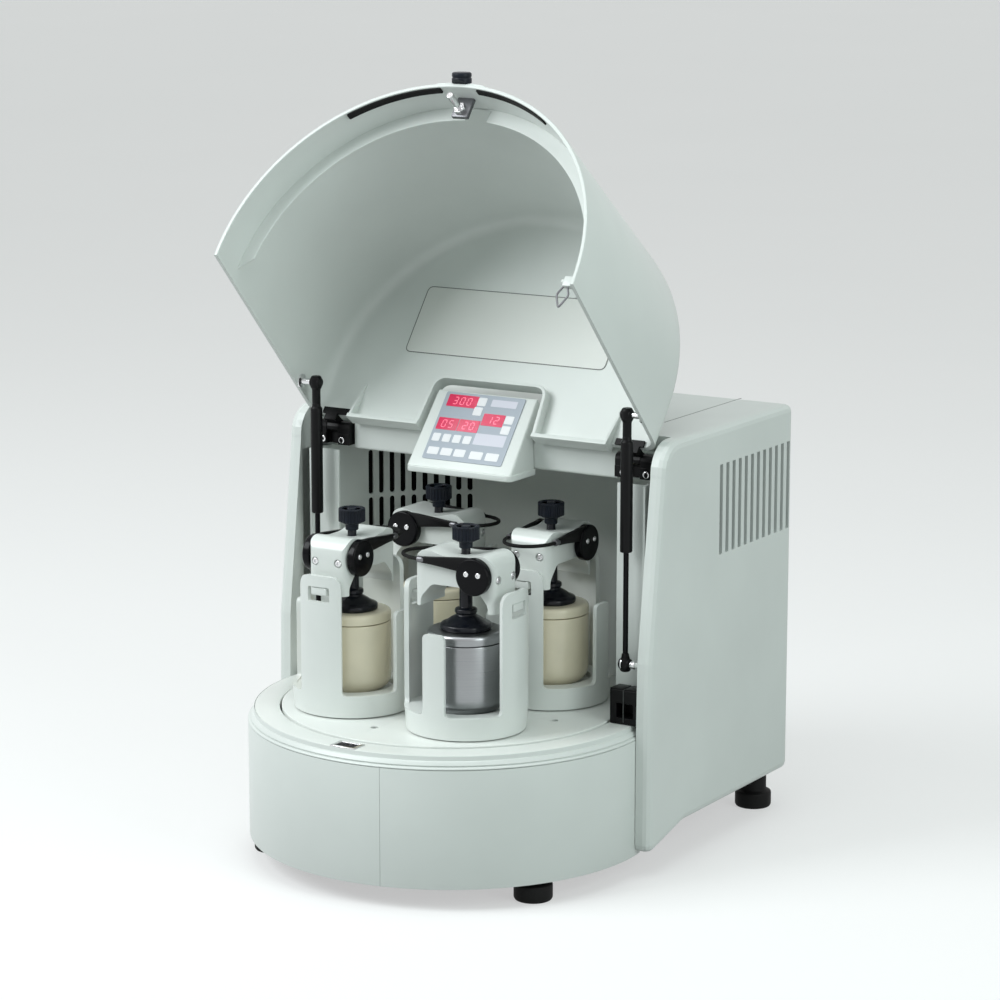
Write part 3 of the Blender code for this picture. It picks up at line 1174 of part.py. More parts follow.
def lid():
    """The safety lid, shaped where it covers the chamber, then hung on its open axis."""
    axis = lid_frame()
    closed = empty("lid_closed_frame", (0.0, -HINGE_Y, -HINGE_Z), axis)
    rear = HINGE_Y + OVERRUN
    shell = slab("lid_shell", plan(LID_RADIUS, rear), LID_RIM_Z, LID_TOP, "Z", closed,
                 "cream_shell")
    soften(shell, LID_ROUND, segments=3, angle=60)
    ceiling = LID_TOP - LID_CEILING
    inside = slab("lid_inside", plan(LID_RADIUS - LID_WALL, rear + OVERRUN),
                  LID_RIM_Z - OVERRUN - LID_ROUND, ceiling, "Z", closed)
    soften(inside, LID_ROUND - LID_WALL, segments=3, angle=60)
    ledge_top = LID_LEDGE_Z + LID_LEDGE_THICK
    ledge = slab("lid_ledge", plan(LID_RADIUS - LID_WALL / 2, LID_LEDGE_REAR), LID_LEDGE_Z,
                 ledge_top, "Z", closed)
    cut(ledge, slab("ledge_bore", plan(LID_RADIUS - LID_LEDGE, LID_LEDGE_REAR + OVERRUN),
                    LID_LEDGE_Z - OVERRUN, ledge_top + OVERRUN, "Z", closed))
    cut(shell, inside)
    add(shell, ledge)
    flange = box("lid_flange", (-LID_FLANGE_HALF, LID_FLANGE_REAR - LID_FLANGE_THICK,
                                LID_FLANGE_BOTTOM),
                 (LID_FLANGE_HALF, LID_FLANGE_REAR, LID_TOP - LID_CEILING / 2), closed)
    add(shell, flange)
    drop = ceiling - CUTOUT_LIP_DROP
    lip = slab("cutout_lip", cutout(CUTOUT_LIP, LID_FLANGE_REAR - LID_FLANGE_THICK / 2), drop,
               LID_TOP - LID_CEILING / 2, "Z", closed)
    add(shell, lip)
    side_reach = LID_RADIUS + OVERRUN
    high = LID_TOP + OVERRUN
    run = (LID_HINGE_EDGE - LID_RIM_REAR) / (LID_TOP - LID_RIM_Z)
    foot = (LID_RIM_REAR - run * OVERRUN, LID_RIM_Z - OVERRUN)
    head = (LID_HINGE_EDGE + run * OVERRUN, high)
    back = ((foot[0], foot[1]), (rear + OVERRUN, foot[1]), (rear + OVERRUN, high), head)
    for side in (-1, 1):
        ends = sorted((side * LID_FLANGE_HALF, side * side_reach))
        cut(shell, slab("lid_back_side", back, ends[0], ends[1], "X", closed))
    cut(shell, box("lid_back_middle", (-LID_FLANGE_HALF - MERGE, LID_FLANGE_REAR, foot[1]),
                   (LID_FLANGE_HALF + MERGE, rear + OVERRUN, high), closed))
    cut(shell, slab("console_cutout", cutout(0.0, rear + OVERRUN), drop - OVERRUN, high, "Z",
                    closed))
    for side in (-1, 1):
        wall = side * (LID_RADIUS - LID_WALL / 2)
        stud_in = side * (SPRING_X + EYE_WIDTH / 2 + GAP)
        y, z = closed_stud()
        add(shell, rod("lid_stud", STUD_RADIUS, (stud_in, y, z), (wall, y, z), closed))
    hook(shell, closed)
    lid_fittings(closed)


def closed_stud():
    """Where the lid's gas-spring stud lies, in the covering pose."""
    angle = math.radians(LID_OPEN_ANGLE)
    y = SPRING_Y - HINGE_Y
    z = SPRING_HIGH_Z - HINGE_Z
    return (HINGE_Y + y * math.cos(angle) - z * math.sin(angle),
            HINGE_Z + y * math.sin(angle) + z * math.cos(angle))


def cutout(grow, rear):
    """Plan of the console opening, grown by the thickness of its lip."""
    front = CUTOUT_FRONT_HALF + grow
    back = CUTOUT_REAR_HALF + grow
    return ((-front, CUTOUT_FRONT - grow), (front, CUTOUT_FRONT - grow), (back, rear),
            (-back, rear))


def hook(shell, closed):
    """A wire loop on a tab at the right end of the rim, for the lock block."""
    wall = LID_RADIUS - LID_WALL / 2
    tab_block = box("hook_tab", (HOOK_X - HOOK_TAB / 2, -HOOK_TAB, HOOK_Z - HOOK_TAB_THICK / 2),
                    (wall, HOOK_TAB, HOOK_Z + HOOK_TAB_THICK / 2), closed)
    add(shell, tab_block)
    waist = HOOK_REACH / 2
    points = ((HOOK_X, HOOK_TAB / 2, HOOK_Z), (HOOK_X - HOOK_HALF, waist, HOOK_Z),
              (HOOK_X, HOOK_REACH, HOOK_Z), (HOOK_X + HOOK_HALF, waist, HOOK_Z))
    add(shell, wire("hook_wire", points, HOOK_WIRE, closed, closed=True))


def lid_fittings(closed):
    """Knob, striker and the moving half of each hinge."""
    knob = turned("lid_handle", (
        (0.0, HANDLE_LENGTH), (HANDLE_RADIUS - LATCH_WALL, HANDLE_LENGTH),
        (HANDLE_RADIUS, HANDLE_LENGTH - LATCH_WALL), (HANDLE_RADIUS, HANDLE_NECK),
        (HANDLE_NECK_RADIUS, HANDLE_NECK), (HANDLE_NECK_RADIUS, -HANDLE_SEAT),
        (0.0, -HANDLE_SEAT)), closed, "black_plastic", ROUND_SMALL)
    knob.location = (0.0, -LID_RADIUS, HANDLE_Z)
    knob.rotation_euler = (math.radians(LID_OPEN_ANGLE), 0.0, 0.0)
    reach = HANDLE_LENGTH + HANDLE_SEAT
    cut(knob, slab("handle_seat", plan(LID_RADIUS + GAP, LID_LEDGE_REAR), HANDLE_Z - reach,
                   HANDLE_Z + reach, "Z", closed))
    striker = rod("lid_striker", STRIKER_RADIUS, (0.0, STRIKER_Y, STRIKER_BOTTOM),
                  (0.0, STRIKER_Y, STRIKER_TOP), closed, "bright_steel")
    add(striker, rod("striker_hex", STRIKER_HEX, (0.0, STRIKER_Y, STRIKER_PLATE_Z - STRIKER_HEX_TALL),
                     (0.0, STRIKER_Y, STRIKER_PLATE_Z + STRIKER_PLATE_THICK / 2), closed, facets=6))
    wall = (LID_RADIUS - LID_WALL) * math.cos(math.pi / ROUND_BIG) - GAP
    seat_x = STRIKER_PLATE_HALF
    seat_y = -math.sqrt(wall ** 2 - seat_x ** 2)
    add(striker, box("striker_plate", (-seat_x, seat_y, STRIKER_PLATE_Z),
                     (seat_x, STRIKER_Y + STRIKER_HEX, STRIKER_PLATE_Z + STRIKER_PLATE_THICK),
                     closed))
    length = HINGE_OUTSIDE - HINGE_INSIDE
    inset = length * KNUCKLE_SHARE + RUNNING_GAP
    ceiling = LID_TOP - LID_CEILING - GAP
    arm_front = LID_HINGE_EDGE + GAP
    plate_rear = HINGE_PLATE_FRONT - RUNNING_GAP
    plate_outside = LID_RADIUS - LID_ROUND
    for side, name in ((-1, "hinge_leaf_left"), (1, "hinge_leaf_right")):
        ends = sorted((side * (HINGE_INSIDE + inset), side * (HINGE_OUTSIDE - inset)))
        plate_ends = sorted((side * HINGE_INSIDE, side * plate_outside))
        leaf = box(name, (plate_ends[0], LEAF_FRONT, ceiling - LEAF_THICK),
                   (plate_ends[1], plate_rear, ceiling), closed, "black_plastic")
        add(leaf, box("leaf_tongue", (ends[0], LEAF_FRONT + LEAF_THICK, ceiling - LEAF_THICK),
                      (ends[1], HINGE_Y, ceiling), closed))
        add(leaf, box("leaf_arm", (ends[0], arm_front, ceiling - LEAF_THICK),
                      (ends[1], HINGE_Y, HINGE_Z), closed))
        add(leaf, rod("leaf_knuckle", KNUCKLE_RADIUS, (ends[0], HINGE_Y, HINGE_Z),
                      (ends[1], HINGE_Y, HINGE_Z), closed))
        cut(leaf, rod("leaf_bore", PIN_RADIUS + RUNNING_GAP,
                      (ends[0] - OVERRUN, HINGE_Y, HINGE_Z),
                      (ends[1] + OVERRUN, HINGE_Y, HINGE_Z), closed))


def gas_springs():
    """A rod on a stud of the housing and a tube that slides on it, at each side."""
    top = SPRING_HIGH_Z - SPRING_LOW_Z
    for side, name in ((-1, "left"), (1, "right")):
        axis = empty("spring_axis_" + name, (side * SPRING_X, SPRING_Y, SPRING_LOW_Z), mill)
        bar = rod("gas_spring_rod_" + name, ROD_RADIUS, (0.0, 0.0, 0.0),
                  (0.0, 0.0, ROD_LENGTH), axis, "bright_steel")
        add(bar, rod("low_eye", EYE_RADIUS, (-EYE_WIDTH / 2, 0.0, 0.0),
                     (EYE_WIDTH / 2, 0.0, 0.0), axis))
        bottom = top - TUBE_LENGTH
        neck = top - TUBE_NECK
        bore_top = top - TUBE_FLOOR
        tube = turned("gas_spring_tube_" + name, (
            (0.0, top), (TUBE_NECK_RADIUS, top), (TUBE_NECK_RADIUS, neck + MERGE),
            (TUBE_RADIUS, neck), (TUBE_RADIUS, bottom), (TUBE_BORE, bottom),
            (TUBE_BORE, bore_top), (0.0, bore_top)), axis, "black_plastic", ROUND_SMALL)
        add(tube, rod("high_eye", EYE_RADIUS, (-EYE_WIDTH / 2, 0.0, top),
                      (EYE_WIDTH / 2, 0.0, top), axis))


base_plate()
feet()
drum()
deck()
latch()
chamber()
housing()
rear_panel()
inlet()
bearing()
drive()
stations(disc())
crossbar()
console()
lock()
hinge_bases()
lid()
gas_springs()
for piece in parts.objects:
    if piece.type == "MESH" and len(piece.data.polygons) > 0:
        shade(piece.data)
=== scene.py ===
"""Finer pieces and finishes for a planetary ball mill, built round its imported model.

Metres, +Z up, front towards -Y. Pieces are shaped about the axis of the sun disc, or about
the axis of their own bowl holder, and then put in their place in the mill.
"""
import math

import bmesh
import bpy
from mathutils import Matrix, Vector


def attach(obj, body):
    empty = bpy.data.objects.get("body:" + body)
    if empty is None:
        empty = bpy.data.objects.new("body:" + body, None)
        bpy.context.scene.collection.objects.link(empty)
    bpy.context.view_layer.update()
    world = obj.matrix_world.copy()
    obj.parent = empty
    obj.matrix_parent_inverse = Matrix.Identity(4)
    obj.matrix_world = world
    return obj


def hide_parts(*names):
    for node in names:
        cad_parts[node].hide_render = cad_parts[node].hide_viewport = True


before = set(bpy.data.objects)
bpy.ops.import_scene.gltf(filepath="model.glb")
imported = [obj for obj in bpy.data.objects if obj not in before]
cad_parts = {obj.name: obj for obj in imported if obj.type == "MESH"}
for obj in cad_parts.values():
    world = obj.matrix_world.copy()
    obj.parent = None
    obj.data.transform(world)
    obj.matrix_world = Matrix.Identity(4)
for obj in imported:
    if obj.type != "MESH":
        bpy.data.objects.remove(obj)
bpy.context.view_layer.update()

MILL = Matrix.Translation((0.0, -0.070, 0.0))
HINGE = Vector((0.0, 0.0744, 0.5364))
LID_ANGLE = 127.67
LID_LEAN = Matrix.Rotation(math.radians(-LID_ANGLE), 4, "X")
LID = MILL @ Matrix.Translation(HINGE) @ LID_LEAN @ Matrix.Translation(-HINGE)
SIDES = (("left", -1), ("right", 1))
HOLDERS = ("front", "right", "rear", "left")
FIRST_HOLDER = -50
HOLDER_CIRCLE = 0.131
NO_GAP = 0.000001


# Forms


def welded(form):
    bmesh.ops.remove_doubles(form, verts=form.verts, dist=NO_GAP)
    return form


def outward(form):
    bmesh.ops.recalc_face_normals(form, faces=form.faces)
    return form


def bevelled(form, edges, width, steps):
    bmesh.ops.bevel(form, geom=edges, offset=width, segments=steps, profile=0.5,
                    affect="EDGES", clamp_overlap=True, material=-1)
    return form


def block(low, high, rounding=0.0, steps=2):
    form = bmesh.new()
    bmesh.ops.create_cube(form, size=1.0)
    low, high = Vector(low), Vector(high)
    bmesh.ops.scale(form, vec=high - low, verts=form.verts)
    bmesh.ops.translate(form, vec=(low + high) / 2, verts=form.verts)
    if rounding:
        bevelled(form, form.edges[:], rounding, steps)
    return form


def side_block(side, inner, outer, low, high, rounding=0.0, steps=2):
    """A block between two distances from the middle, on one side; low and high are (y, z)."""
    left, right = sorted((side * inner, side * outer))
    return block((left, *low), (right, *high), rounding, steps)


def oblong(left, low, right, high):
    return [(left, low), (right, low), (right, high), (left, high)]


def eased(points, radii, steps=4, closed=True):
    """An outline with its corners rounded; radii is one number or one for each corner."""
    made = []
    count = len(points)
    if not hasattr(radii, "__len__"):
        radii = [radii] * count
    for index, (point, radius) in enumerate(zip(points, radii)):
        here = Vector(point)
        if radius <= 0 or (not closed and index in (0, count - 1)):
            made.append(here)
            continue
        back = Vector(points[index - 1]) - here
        ahead = Vector(points[(index + 1) % count]) - here
        start = here + back.normalized() * min(radius, back.length * 0.49)
        end = here + ahead.normalized() * min(radius, ahead.length * 0.49)
        for step in range(steps + 1):
            share = step / steps
            made.append((1 - share) ** 2 * start + 2 * share * (1 - share) * here
                        + share ** 2 * end)
    return made


def slab(outline, low, high, across="Z"):
    """A flat outline with a thickness: (y, z) across X, (x, z) across Y, (x, y) across Z."""
    form = bmesh.new()
    face = form.faces.new([form.verts.new((a, b, 0.0)) for a, b in outline])
    grown = bmesh.ops.extrude_face_region(form, geom=[face])["geom"]
    top = [v for v in grown if isinstance(v, bmesh.types.BMVert)]
    bmesh.ops.translate(form, vec=(0.0, 0.0, high - low), verts=top)
    bmesh.ops.translate(form, vec=(0.0, 0.0, low), verts=form.verts)
    turn = {"X": ((0, 0, 1, 0), (1, 0, 0, 0), (0, 1, 0, 0), (0, 0, 0, 1)),
            "Y": ((1, 0, 0, 0), (0, 0, 1, 0), (0, 1, 0, 0), (0, 0, 0, 1)),
            "Z": ((1, 0, 0, 0), (0, 1, 0, 0), (0, 0, 1, 0), (0, 0, 0, 1))}[across]
    return outward(moved(form, Matrix(turn)))


def lathe(profile, steps=64, start=0.0, turn=360.0, ring=False):
    """A turned form from (radius, height) points; a part turn is capped at both ends."""
    form = bmesh.new()
    points = [form.verts.new((radius, 0.0, height)) for radius, height in profile]
    edges = [form.edges.new(pair) for pair in zip(points, points[1:])]
    if ring:
        edges.append(form.edges.new((points[-1], points[0])))
    bmesh.ops.rotate(form, cent=(0, 0, 0), matrix=Matrix.Rotation(math.radians(start), 3, "Z"),
                     verts=form.verts)
    whole = turn == 360.0
    bmesh.ops.spin(form, geom=points + edges, cent=(0, 0, 0), axis=(0, 0, 1), dvec=(0, 0, 0),
                   angle=math.radians(turn), steps=steps, use_merge=whole)
    welded(form)
    if not whole:
        bmesh.ops.holes_fill(form, edges=[e for e in form.edges if e.is_boundary])
    return outward(form)


def cylinder(radius, low, high, steps):
    return lathe(((0.0, high), (radius, high), (radius, low), (0.0, low)), steps)


def moved(form, matrix):
    bmesh.ops.transform(form, matrix=matrix, verts=form.verts)
    return form


def shifted(form, x, y, z):
    return moved(form, Matrix.Translation((x, y, z)))


def turned(form, degrees, axis):
    return moved(form, Matrix.Rotation(math.radians(degrees), 4, axis))


def joined(*forms):
    whole = forms[0]
    for other in forms[1:]:
        mesh = bpy.data.meshes.new("joined")
        other.to_mesh(mesh)
        whole.from_mesh(mesh)
        bpy.data.meshes.remove(mesh)
        other.free()
    return whole


def carved(form, tool, operation="DIFFERENCE"):
    made = []
    for part in (form, tool):
        mesh = bpy.data.meshes.new("carving")
        part.to_mesh(mesh)
        part.free()
        thing = bpy.data.objects.new("carving", mesh)
        bpy.context.scene.collection.objects.link(thing)
        made.append(thing)
    cut = made[0].modifiers.new("carve", "BOOLEAN")
    cut.operation = operation
    cut.solver = "EXACT"
    cut.object = made[1]
    bpy.context.view_layer.update()
    seen = made[0].evaluated_get(bpy.context.evaluated_depsgraph_get())
    mesh = bpy.data.meshes.new_from_object(seen)
    result = bmesh.new()
    result.from_mesh(mesh)
    bpy.data.meshes.remove(mesh)
    for thing in made:
        old = thing.data
        bpy.data.objects.remove(thing)
        bpy.data.meshes.remove(old)
    return result


def bent(outline, holes, radius, wall, step):
    """A flat sheet, (distance, height), bent round Z from -Y, with its wall inside."""
    form = bmesh.new()
    for loop in [outline] + holes:
        points = [form.verts.new((a, 0.0, b)) for a, b in loop]
        for pair in zip(points, points[1:] + points[:1]):
            form.edges.new(pair)
    bmesh.ops.triangle_fill(form, use_beauty=True, edges=form.edges[:], normal=(0, -1, 0))
    low = min(v.co.x for v in form.verts)
    high = max(v.co.x for v in form.verts)
    count = math.ceil((high - low) / step)
    for index in range(1, count):
        bmesh.ops.bisect_plane(form, geom=form.verts[:] + form.edges[:] + form.faces[:],
                               dist=NO_GAP, plane_no=(1, 0, 0),
                               plane_co=(low + (high - low) * index / count, 0, 0))
    for vert in form.verts:
        angle = vert.co.x / radius
        vert.co.x = radius * math.sin(angle)
        vert.co.y = -radius * math.cos(angle)
    outward(welded(form))
    form.faces.ensure_lookup_table()
    middle = form.faces[0].calc_center_median()
    if form.faces[0].normal.dot(Vector((middle.x, middle.y, 0.0))) < 0:
        bmesh.ops.reverse_faces(form, faces=form.faces)
    bmesh.ops.solidify(form, geom=form.faces[:], thickness=wall)
    return outward(form)


def cable(points, radius, closed=False):
    curve = bpy.data.curves.new("cable", "CURVE")
    curve.dimensions = "3D"
    curve.bevel_depth = radius
    curve.bevel_resolution = 3
    curve.use_fill_caps = True
    path = curve.splines.new("POLY")
    path.points.add(len(points) - 1)
    for point, place in zip(path.points, points):
        point.co = (*place, 1.0)
    path.use_cyclic_u = closed
    bare = bpy.data.objects.new("cable", curve)
    bpy.context.scene.collection.objects.link(bare)
    bpy.context.view_layer.update()
    seen = bare.evaluated_get(bpy.context.evaluated_depsgraph_get())
    mesh = bpy.data.meshes.new_from_object(seen)
    form = bmesh.new()
    form.from_mesh(mesh)
    bpy.data.objects.remove(bare)
    bpy.data.curves.remove(curve)
    bpy.data.meshes.remove(mesh)
    return outward(welded(form))


def capsule(across, low, high, width):
    """An upright slot with round ends, as an outline."""
    half = width / 2
    loop = []
    for centre, first in ((high - half, 0), (low + half, 180)):
        for step in range(7):
            angle = math.radians(first + 30 * step)
            loop.append((across + half * math.cos(angle), centre + half * math.sin(angle)))
    return loop


def piece(name, form, material, body, place=MILL, stands_for=(), slot=None, crisp=35.0,
          edge=0.0, steps=2):
    moved(form, place)
    mesh = bpy.data.meshes.new(name)
    form.to_mesh(mesh)
    form.free()
    for polygon in mesh.polygons:
        polygon.use_smooth = True
    mesh.set_sharp_from_angle(angle=math.radians(crisp))
    mesh.materials.clear()
    mesh.materials.append(material)
    thing = bpy.data.objects.new(name, mesh)
    bpy.context.scene.collection.objects.link(thing)
    if edge:
        soft = thing.modifiers.new("edges", "BEVEL")
        soft.width = edge
        soft.segments = steps
        soft.limit_method = "ANGLE"
        soft.angle_limit = math.radians(crisp)
        soft.harden_normals = True
    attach(thing, body)
    if stands_for:
        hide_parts(*stands_for)


# Finishes


def finish(name, colour, rough, metal=0.0, coat=0.0, grain=900.0, depth=0.00003, tone=0.03,
           patches=7.0, stretch=(1.0, 1.0, 1.0), uneven=0.06, specular=0.5, light=0.0):
    """A finish with a fine grain in relief, broad changes of tone and uneven gloss."""
    made = bpy.data.materials.new(name)
    made.use_nodes = True
    nodes, links = made.node_tree.nodes, made.node_tree.links
    shader = nodes["Principled BSDF"]
    shader.inputs["Metallic"].default_value = metal
    shader.inputs["Coat Weight"].default_value = coat
    shader.inputs["Coat Roughness"].default_value = 0.12
    shader.inputs["Specular IOR Level"].default_value = specular
    place = nodes.new("ShaderNodeTexCoord")
    spread = nodes.new("ShaderNodeMapping")
    spread.inputs["Scale"].default_value = stretch
    links.new(place.outputs["Object"], spread.inputs["Vector"])
    broad = nodes.new("ShaderNodeTexNoise")
    broad.inputs["Scale"].default_value = patches
    broad.inputs["Detail"].default_value = 3.0
    links.new(spread.outputs["Vector"], broad.inputs["Vector"])
    ramp = nodes.new("ShaderNodeValToRGB")
    ramp.color_ramp.elements[0].position = 0.3
    ramp.color_ramp.elements[1].position = 0.7
    for element, share in zip(ramp.color_ramp.elements, (1 - tone, 1 + tone)):
        element.color = (*[min(1.0, channel * share) for channel in colour], 1.0)
    links.new(broad.outputs["Fac"], ramp.inputs["Fac"])
    links.new(ramp.outputs["Color"], shader.inputs["Base Color"])
    if light:
        links.new(ramp.outputs["Color"], shader.inputs["Emission Color"])
        shader.inputs["Emission Strength"].default_value = light
    fine = nodes.new("ShaderNodeTexNoise")
    fine.inputs["Scale"].default_value = grain
    fine.inputs["Detail"].default_value = 2.0
    links.new(spread.outputs["Vector"], fine.inputs["Vector"])
    gloss = nodes.new("ShaderNodeMapRange")
    gloss.inputs["To Min"].default_value = max(0.0, rough - uneven)
    gloss.inputs["To Max"].default_value = min(1.0, rough + uneven)
    links.new(fine.outputs["Fac"], gloss.inputs["Value"])
    links.new(gloss.outputs["Result"], shader.inputs["Roughness"])
    relief = nodes.new("ShaderNodeBump")
    relief.inputs["Strength"].default_value = 0.6
    relief.inputs["Distance"].default_value = depth
    links.new(fine.outputs["Fac"], relief.inputs["Height"])
    links.new(relief.outputs["Normal"], shader.inputs["Normal"])
    return made


SHELL_PAINT = finish("shell_paint", (0.720, 0.750, 0.725), 0.42, coat=0.10)
LID_PAINT = finish("lid_paint", (0.720, 0.750, 0.725), 0.40, coat=0.12, grain=700.0)
CAST_PAINT = finish("cast_paint", (0.765, 0.790, 0.765), 0.34, coat=0.25, grain=450.0,
                    depth=0.00006)
DISC_PAINT = finish("disc_paint", (0.790, 0.810, 0.780), 0.36, coat=0.15)
CERAMIC = finish("cream_ceramic", (0.860, 0.780, 0.600), 0.24, coat=0.30, grain=260.0,
                 depth=0.00002, tone=0.035, patches=28.0, uneven=0.05)
BRUSHED = finish("brushed_bowl_steel", (0.33, 0.34, 0.35), 0.30, metal=1.0, grain=3.0,
                 stretch=(2.0, 2.0, 500.0), depth=0.000004, tone=0.05, patches=6.0, uneven=0.06)
BRIGHT = finish("bright_steel", (0.72, 0.72, 0.73), 0.18, metal=1.0, grain=500.0,
                depth=0.00001, tone=0.05, patches=60.0)
DARK_STEEL = finish("dark_machined_steel", (0.16, 0.16, 0.17), 0.36, metal=0.8, grain=600.0,
                    tone=0.12, patches=30.0)
RUBBER = finish("black_rubber", (0.006, 0.006, 0.006), 0.62, grain=700.0, depth=0.00008,
                tone=0.25, patches=40.0, specular=0.15)
PLASTIC = finish("black_plastic", (0.0035, 0.0035, 0.004), 0.36, grain=900.0, depth=0.00004,
                 tone=0.25, patches=30.0, specular=0.15)
KNOB_PLASTIC = finish("blue_black_knob", (0.006, 0.009, 0.016), 0.40, grain=800.0,
                      depth=0.00005, tone=0.25, patches=40.0, specular=0.2)
PAD_RUBBER = finish("glossy_pad_rubber", (0.004, 0.005, 0.009), 0.24, grain=300.0,
                    depth=0.00003, tone=0.2, patches=25.0, specular=0.3)
DISC_BLACK = finish("glossy_hub_black", (0.002, 0.002, 0.003), 0.20, grain=300.0,
                    depth=0.00001, tone=0.2, specular=0.12)
MEMBRANE = finish("membrane_grey", (0.36, 0.40, 0.46), 0.36, grain=1200.0, tone=0.04)
FIELD = finish("membrane_pale", (0.62, 0.62, 0.70), 0.36, grain=1200.0, tone=0.04)
KEY_WHITE = finish("key_white", (0.80, 0.80, 0.82), 0.38, grain=1200.0, tone=0.02)
DISPLAY = finish("display_red", (0.62, 0.010, 0.075), 0.14, grain=900.0, coat=0.5, tone=0.08,
                 patches=90.0, light=0.20)
DIGIT = finish("digit_light", (0.95, 0.22, 0.34), 0.3, grain=900.0, light=0.40)
# dark grey for seams: painted shadow in the gap
SEAM_SHADOW = finish("groove_shadow", (0.045, 0.050, 0.048), 0.7, tone=0.1)
# near-black colour for the sheets behind slots and vents: painted shade for the dark inside the
# housing
SLOT_SHADE = finish("dark_lining", (0.004, 0.004, 0.004), 0.8, tone=0.2, specular=0.1)
LABEL = finish("bare_plate", (0.74, 0.755, 0.72), 0.30, grain=1000.0, tone=0.02, coat=0.1)
LABEL_LINE = finish("plate_line", (0.16, 0.17, 0.16), 0.5, tone=0.1)
BELT = finish("belt_rubber", (0.02, 0.02, 0.02), 0.6, grain=500.0, tone=0.2, patches=60.0)

NODE_FINISH = {
    "base_plate": DARK_STEEL, "motor": DARK_STEEL, "bearing_housing": DARK_STEEL,
    "disc_shaft": DARK_STEEL, "motor_pulley": DARK_STEEL, "drive_belt": BELT,
    "planet_belt_low": BELT, "planet_belt_high": BELT, "lid_latch": BRIGHT,
    "lock_block": PLASTIC, "power_inlet": PLASTIC, "power_switch": PLASTIC,
}
NODE_EDGE = {"rear_housing": 0.0012, "crossbar": 0.0015, "rear_panel": 0.0006,
             "lock_block": 0.0012, "lid_latch": 0.0004,
             "power_inlet": 0.0008, "power_switch": 0.0006}
# a node that a piece below stands for isn't seen, so its finish doesn't matter
for node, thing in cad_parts.items():
    usual = PLASTIC if node.startswith("hinge") else SHELL_PAINT
    thing.data.materials.clear()
    thing.data.materials.append(NODE_FINISH.get(node, usual))
    weld = thing.modifiers.new("weld", "WELD")
    weld.merge_threshold = 0.00002
    soften = thing.modifiers.new("edges", "BEVEL")
    soften.width = NODE_EDGE.get(node, 0.0005)
    soften.segments = 2
    soften.limit_method = "ANGLE"
    soften.angle_limit = math.radians(40)
    soften.harden_normals = True


# Drum, deck and disc

DRUM = 0.269
DRUM_INSIDE = 0.264
WALL_TOP = 0.1838
HEEL = 0.030
SEAM_ANGLE = -77.6
SEAM_GAP = 0.05
HOLE_COUNT, FIRST_HOLE = 4, -95
HOLE_CIRCLE = 0.165


def drum():
    rim = eased(((0.2606, 0.1999), (0.2614, 0.1996), (0.2616, 0.1938), (0.2630, 0.1934),
                 (0.2662, 0.1892), (0.2664, 0.1884), (0.2650, 0.1880), (0.2650, 0.1872),
                 (0.2670, 0.1868), (DRUM, 0.1850), (DRUM, WALL_TOP), (DRUM_INSIDE, WALL_TOP),
                 (DRUM_INSIDE, 0.180), (0.249, 0.180), (0.249, 0.1905), (0.2606, 0.1905)),
                0.0006, 2)
    first = math.degrees(math.asin(HEEL / DRUM))
    whole = 180 + 2 * first
    form = lathe(rim, 96, first, -whole, ring=True)
    panel = eased(((DRUM, WALL_TOP - 0.0007), (DRUM, 0.0285), (DRUM_INSIDE, 0.0285),
                   (DRUM_INSIDE, WALL_TOP - 0.0007)), 0.0012, 2)
    seam = SEAM_ANGLE + SEAM_GAP
    right = lathe(panel, 48, first, seam - first, ring=True)
    seam = SEAM_ANGLE - SEAM_GAP
    left = lathe(panel, 48, seam, -(whole + seam - first), ring=True)
    return joined(form, right, left)


def on_disc(form, index):
    """The form moved to one of the four holes of the disc."""
    spot = math.radians(FIRST_HOLE + 360 / HOLE_COUNT * index)
    return shifted(form, HOLE_CIRCLE * math.cos(spot), HOLE_CIRCLE * math.sin(spot), 0.0)


latch_room = block((-0.0193, -0.2603, 0.15), (0.0193, -0.2350, 0.21))
piece("drum_apron_skin", carved(drum(), latch_room.copy()), SHELL_PAINT, "mill",
      stands_for=["drum_apron"], slot="cream_shell")
ring = lathe(eased(((0.2600, 0.2000), (0.2604, 0.1915), (0.2274, 0.1915), (0.2272, 0.2000)),
                   0.0009, 3), 128, ring=True)
piece("deck_ring_top", carved(ring, latch_room), DISC_PAINT, "mill", stands_for=["deck_ring"],
      slot="cream_shell")

disc = lathe(eased(((0.0, 0.202), (0.2246, 0.202), (0.2248, 0.1882), (0.0, 0.1882)),
                   (0, 0.0012, 0.0006, 0), 3), 128)
for index in range(HOLE_COUNT):
    disc = carved(disc, on_disc(cylinder(0.0052, 0.1975, 0.21, 24), index))
piece("sun_disc_plate", disc, DISC_PAINT, "sun_disc_assembly", stands_for=["sun_disc"],
      slot="cream_shell", edge=0.0004)
for index in range(HOLE_COUNT):
    screw = lathe(((0.0, 0.1990), (0.0018, 0.1990), (0.0022, 0.2000), (0.0034, 0.2002),
                   (0.0038, 0.1976), (0.0, 0.1976)), 24)
    piece("disc_screw_%d" % index, on_disc(screw, index), DARK_STEEL, "sun_disc_assembly")

# raised frame round the latch
latch_frame = carved(block((-0.0188, -0.2598, 0.1985), (0.0188, -0.2355, 0.2012), 0.0006),
                     block((-0.0142, -0.2560, 0.190), (0.0142, -0.2378, 0.21)))
piece("latch_frame", latch_frame, BRIGHT, "mill", edge=0.0003)


# Chamber wall with its two rows of slots, and near-black sheets of painted shade behind slots and
# vents, for the dark seen through them

CHAMBER = 0.2643
CHAMBER_TOP = 0.5077
SLOT_COLUMNS, SLOT_FIRST, SLOT_STEP, SLOT_WIDE = 10, 57.4, 3.4, 0.0072
SLOT_SHADE_R = 0.2690
VENT_X = 0.2750


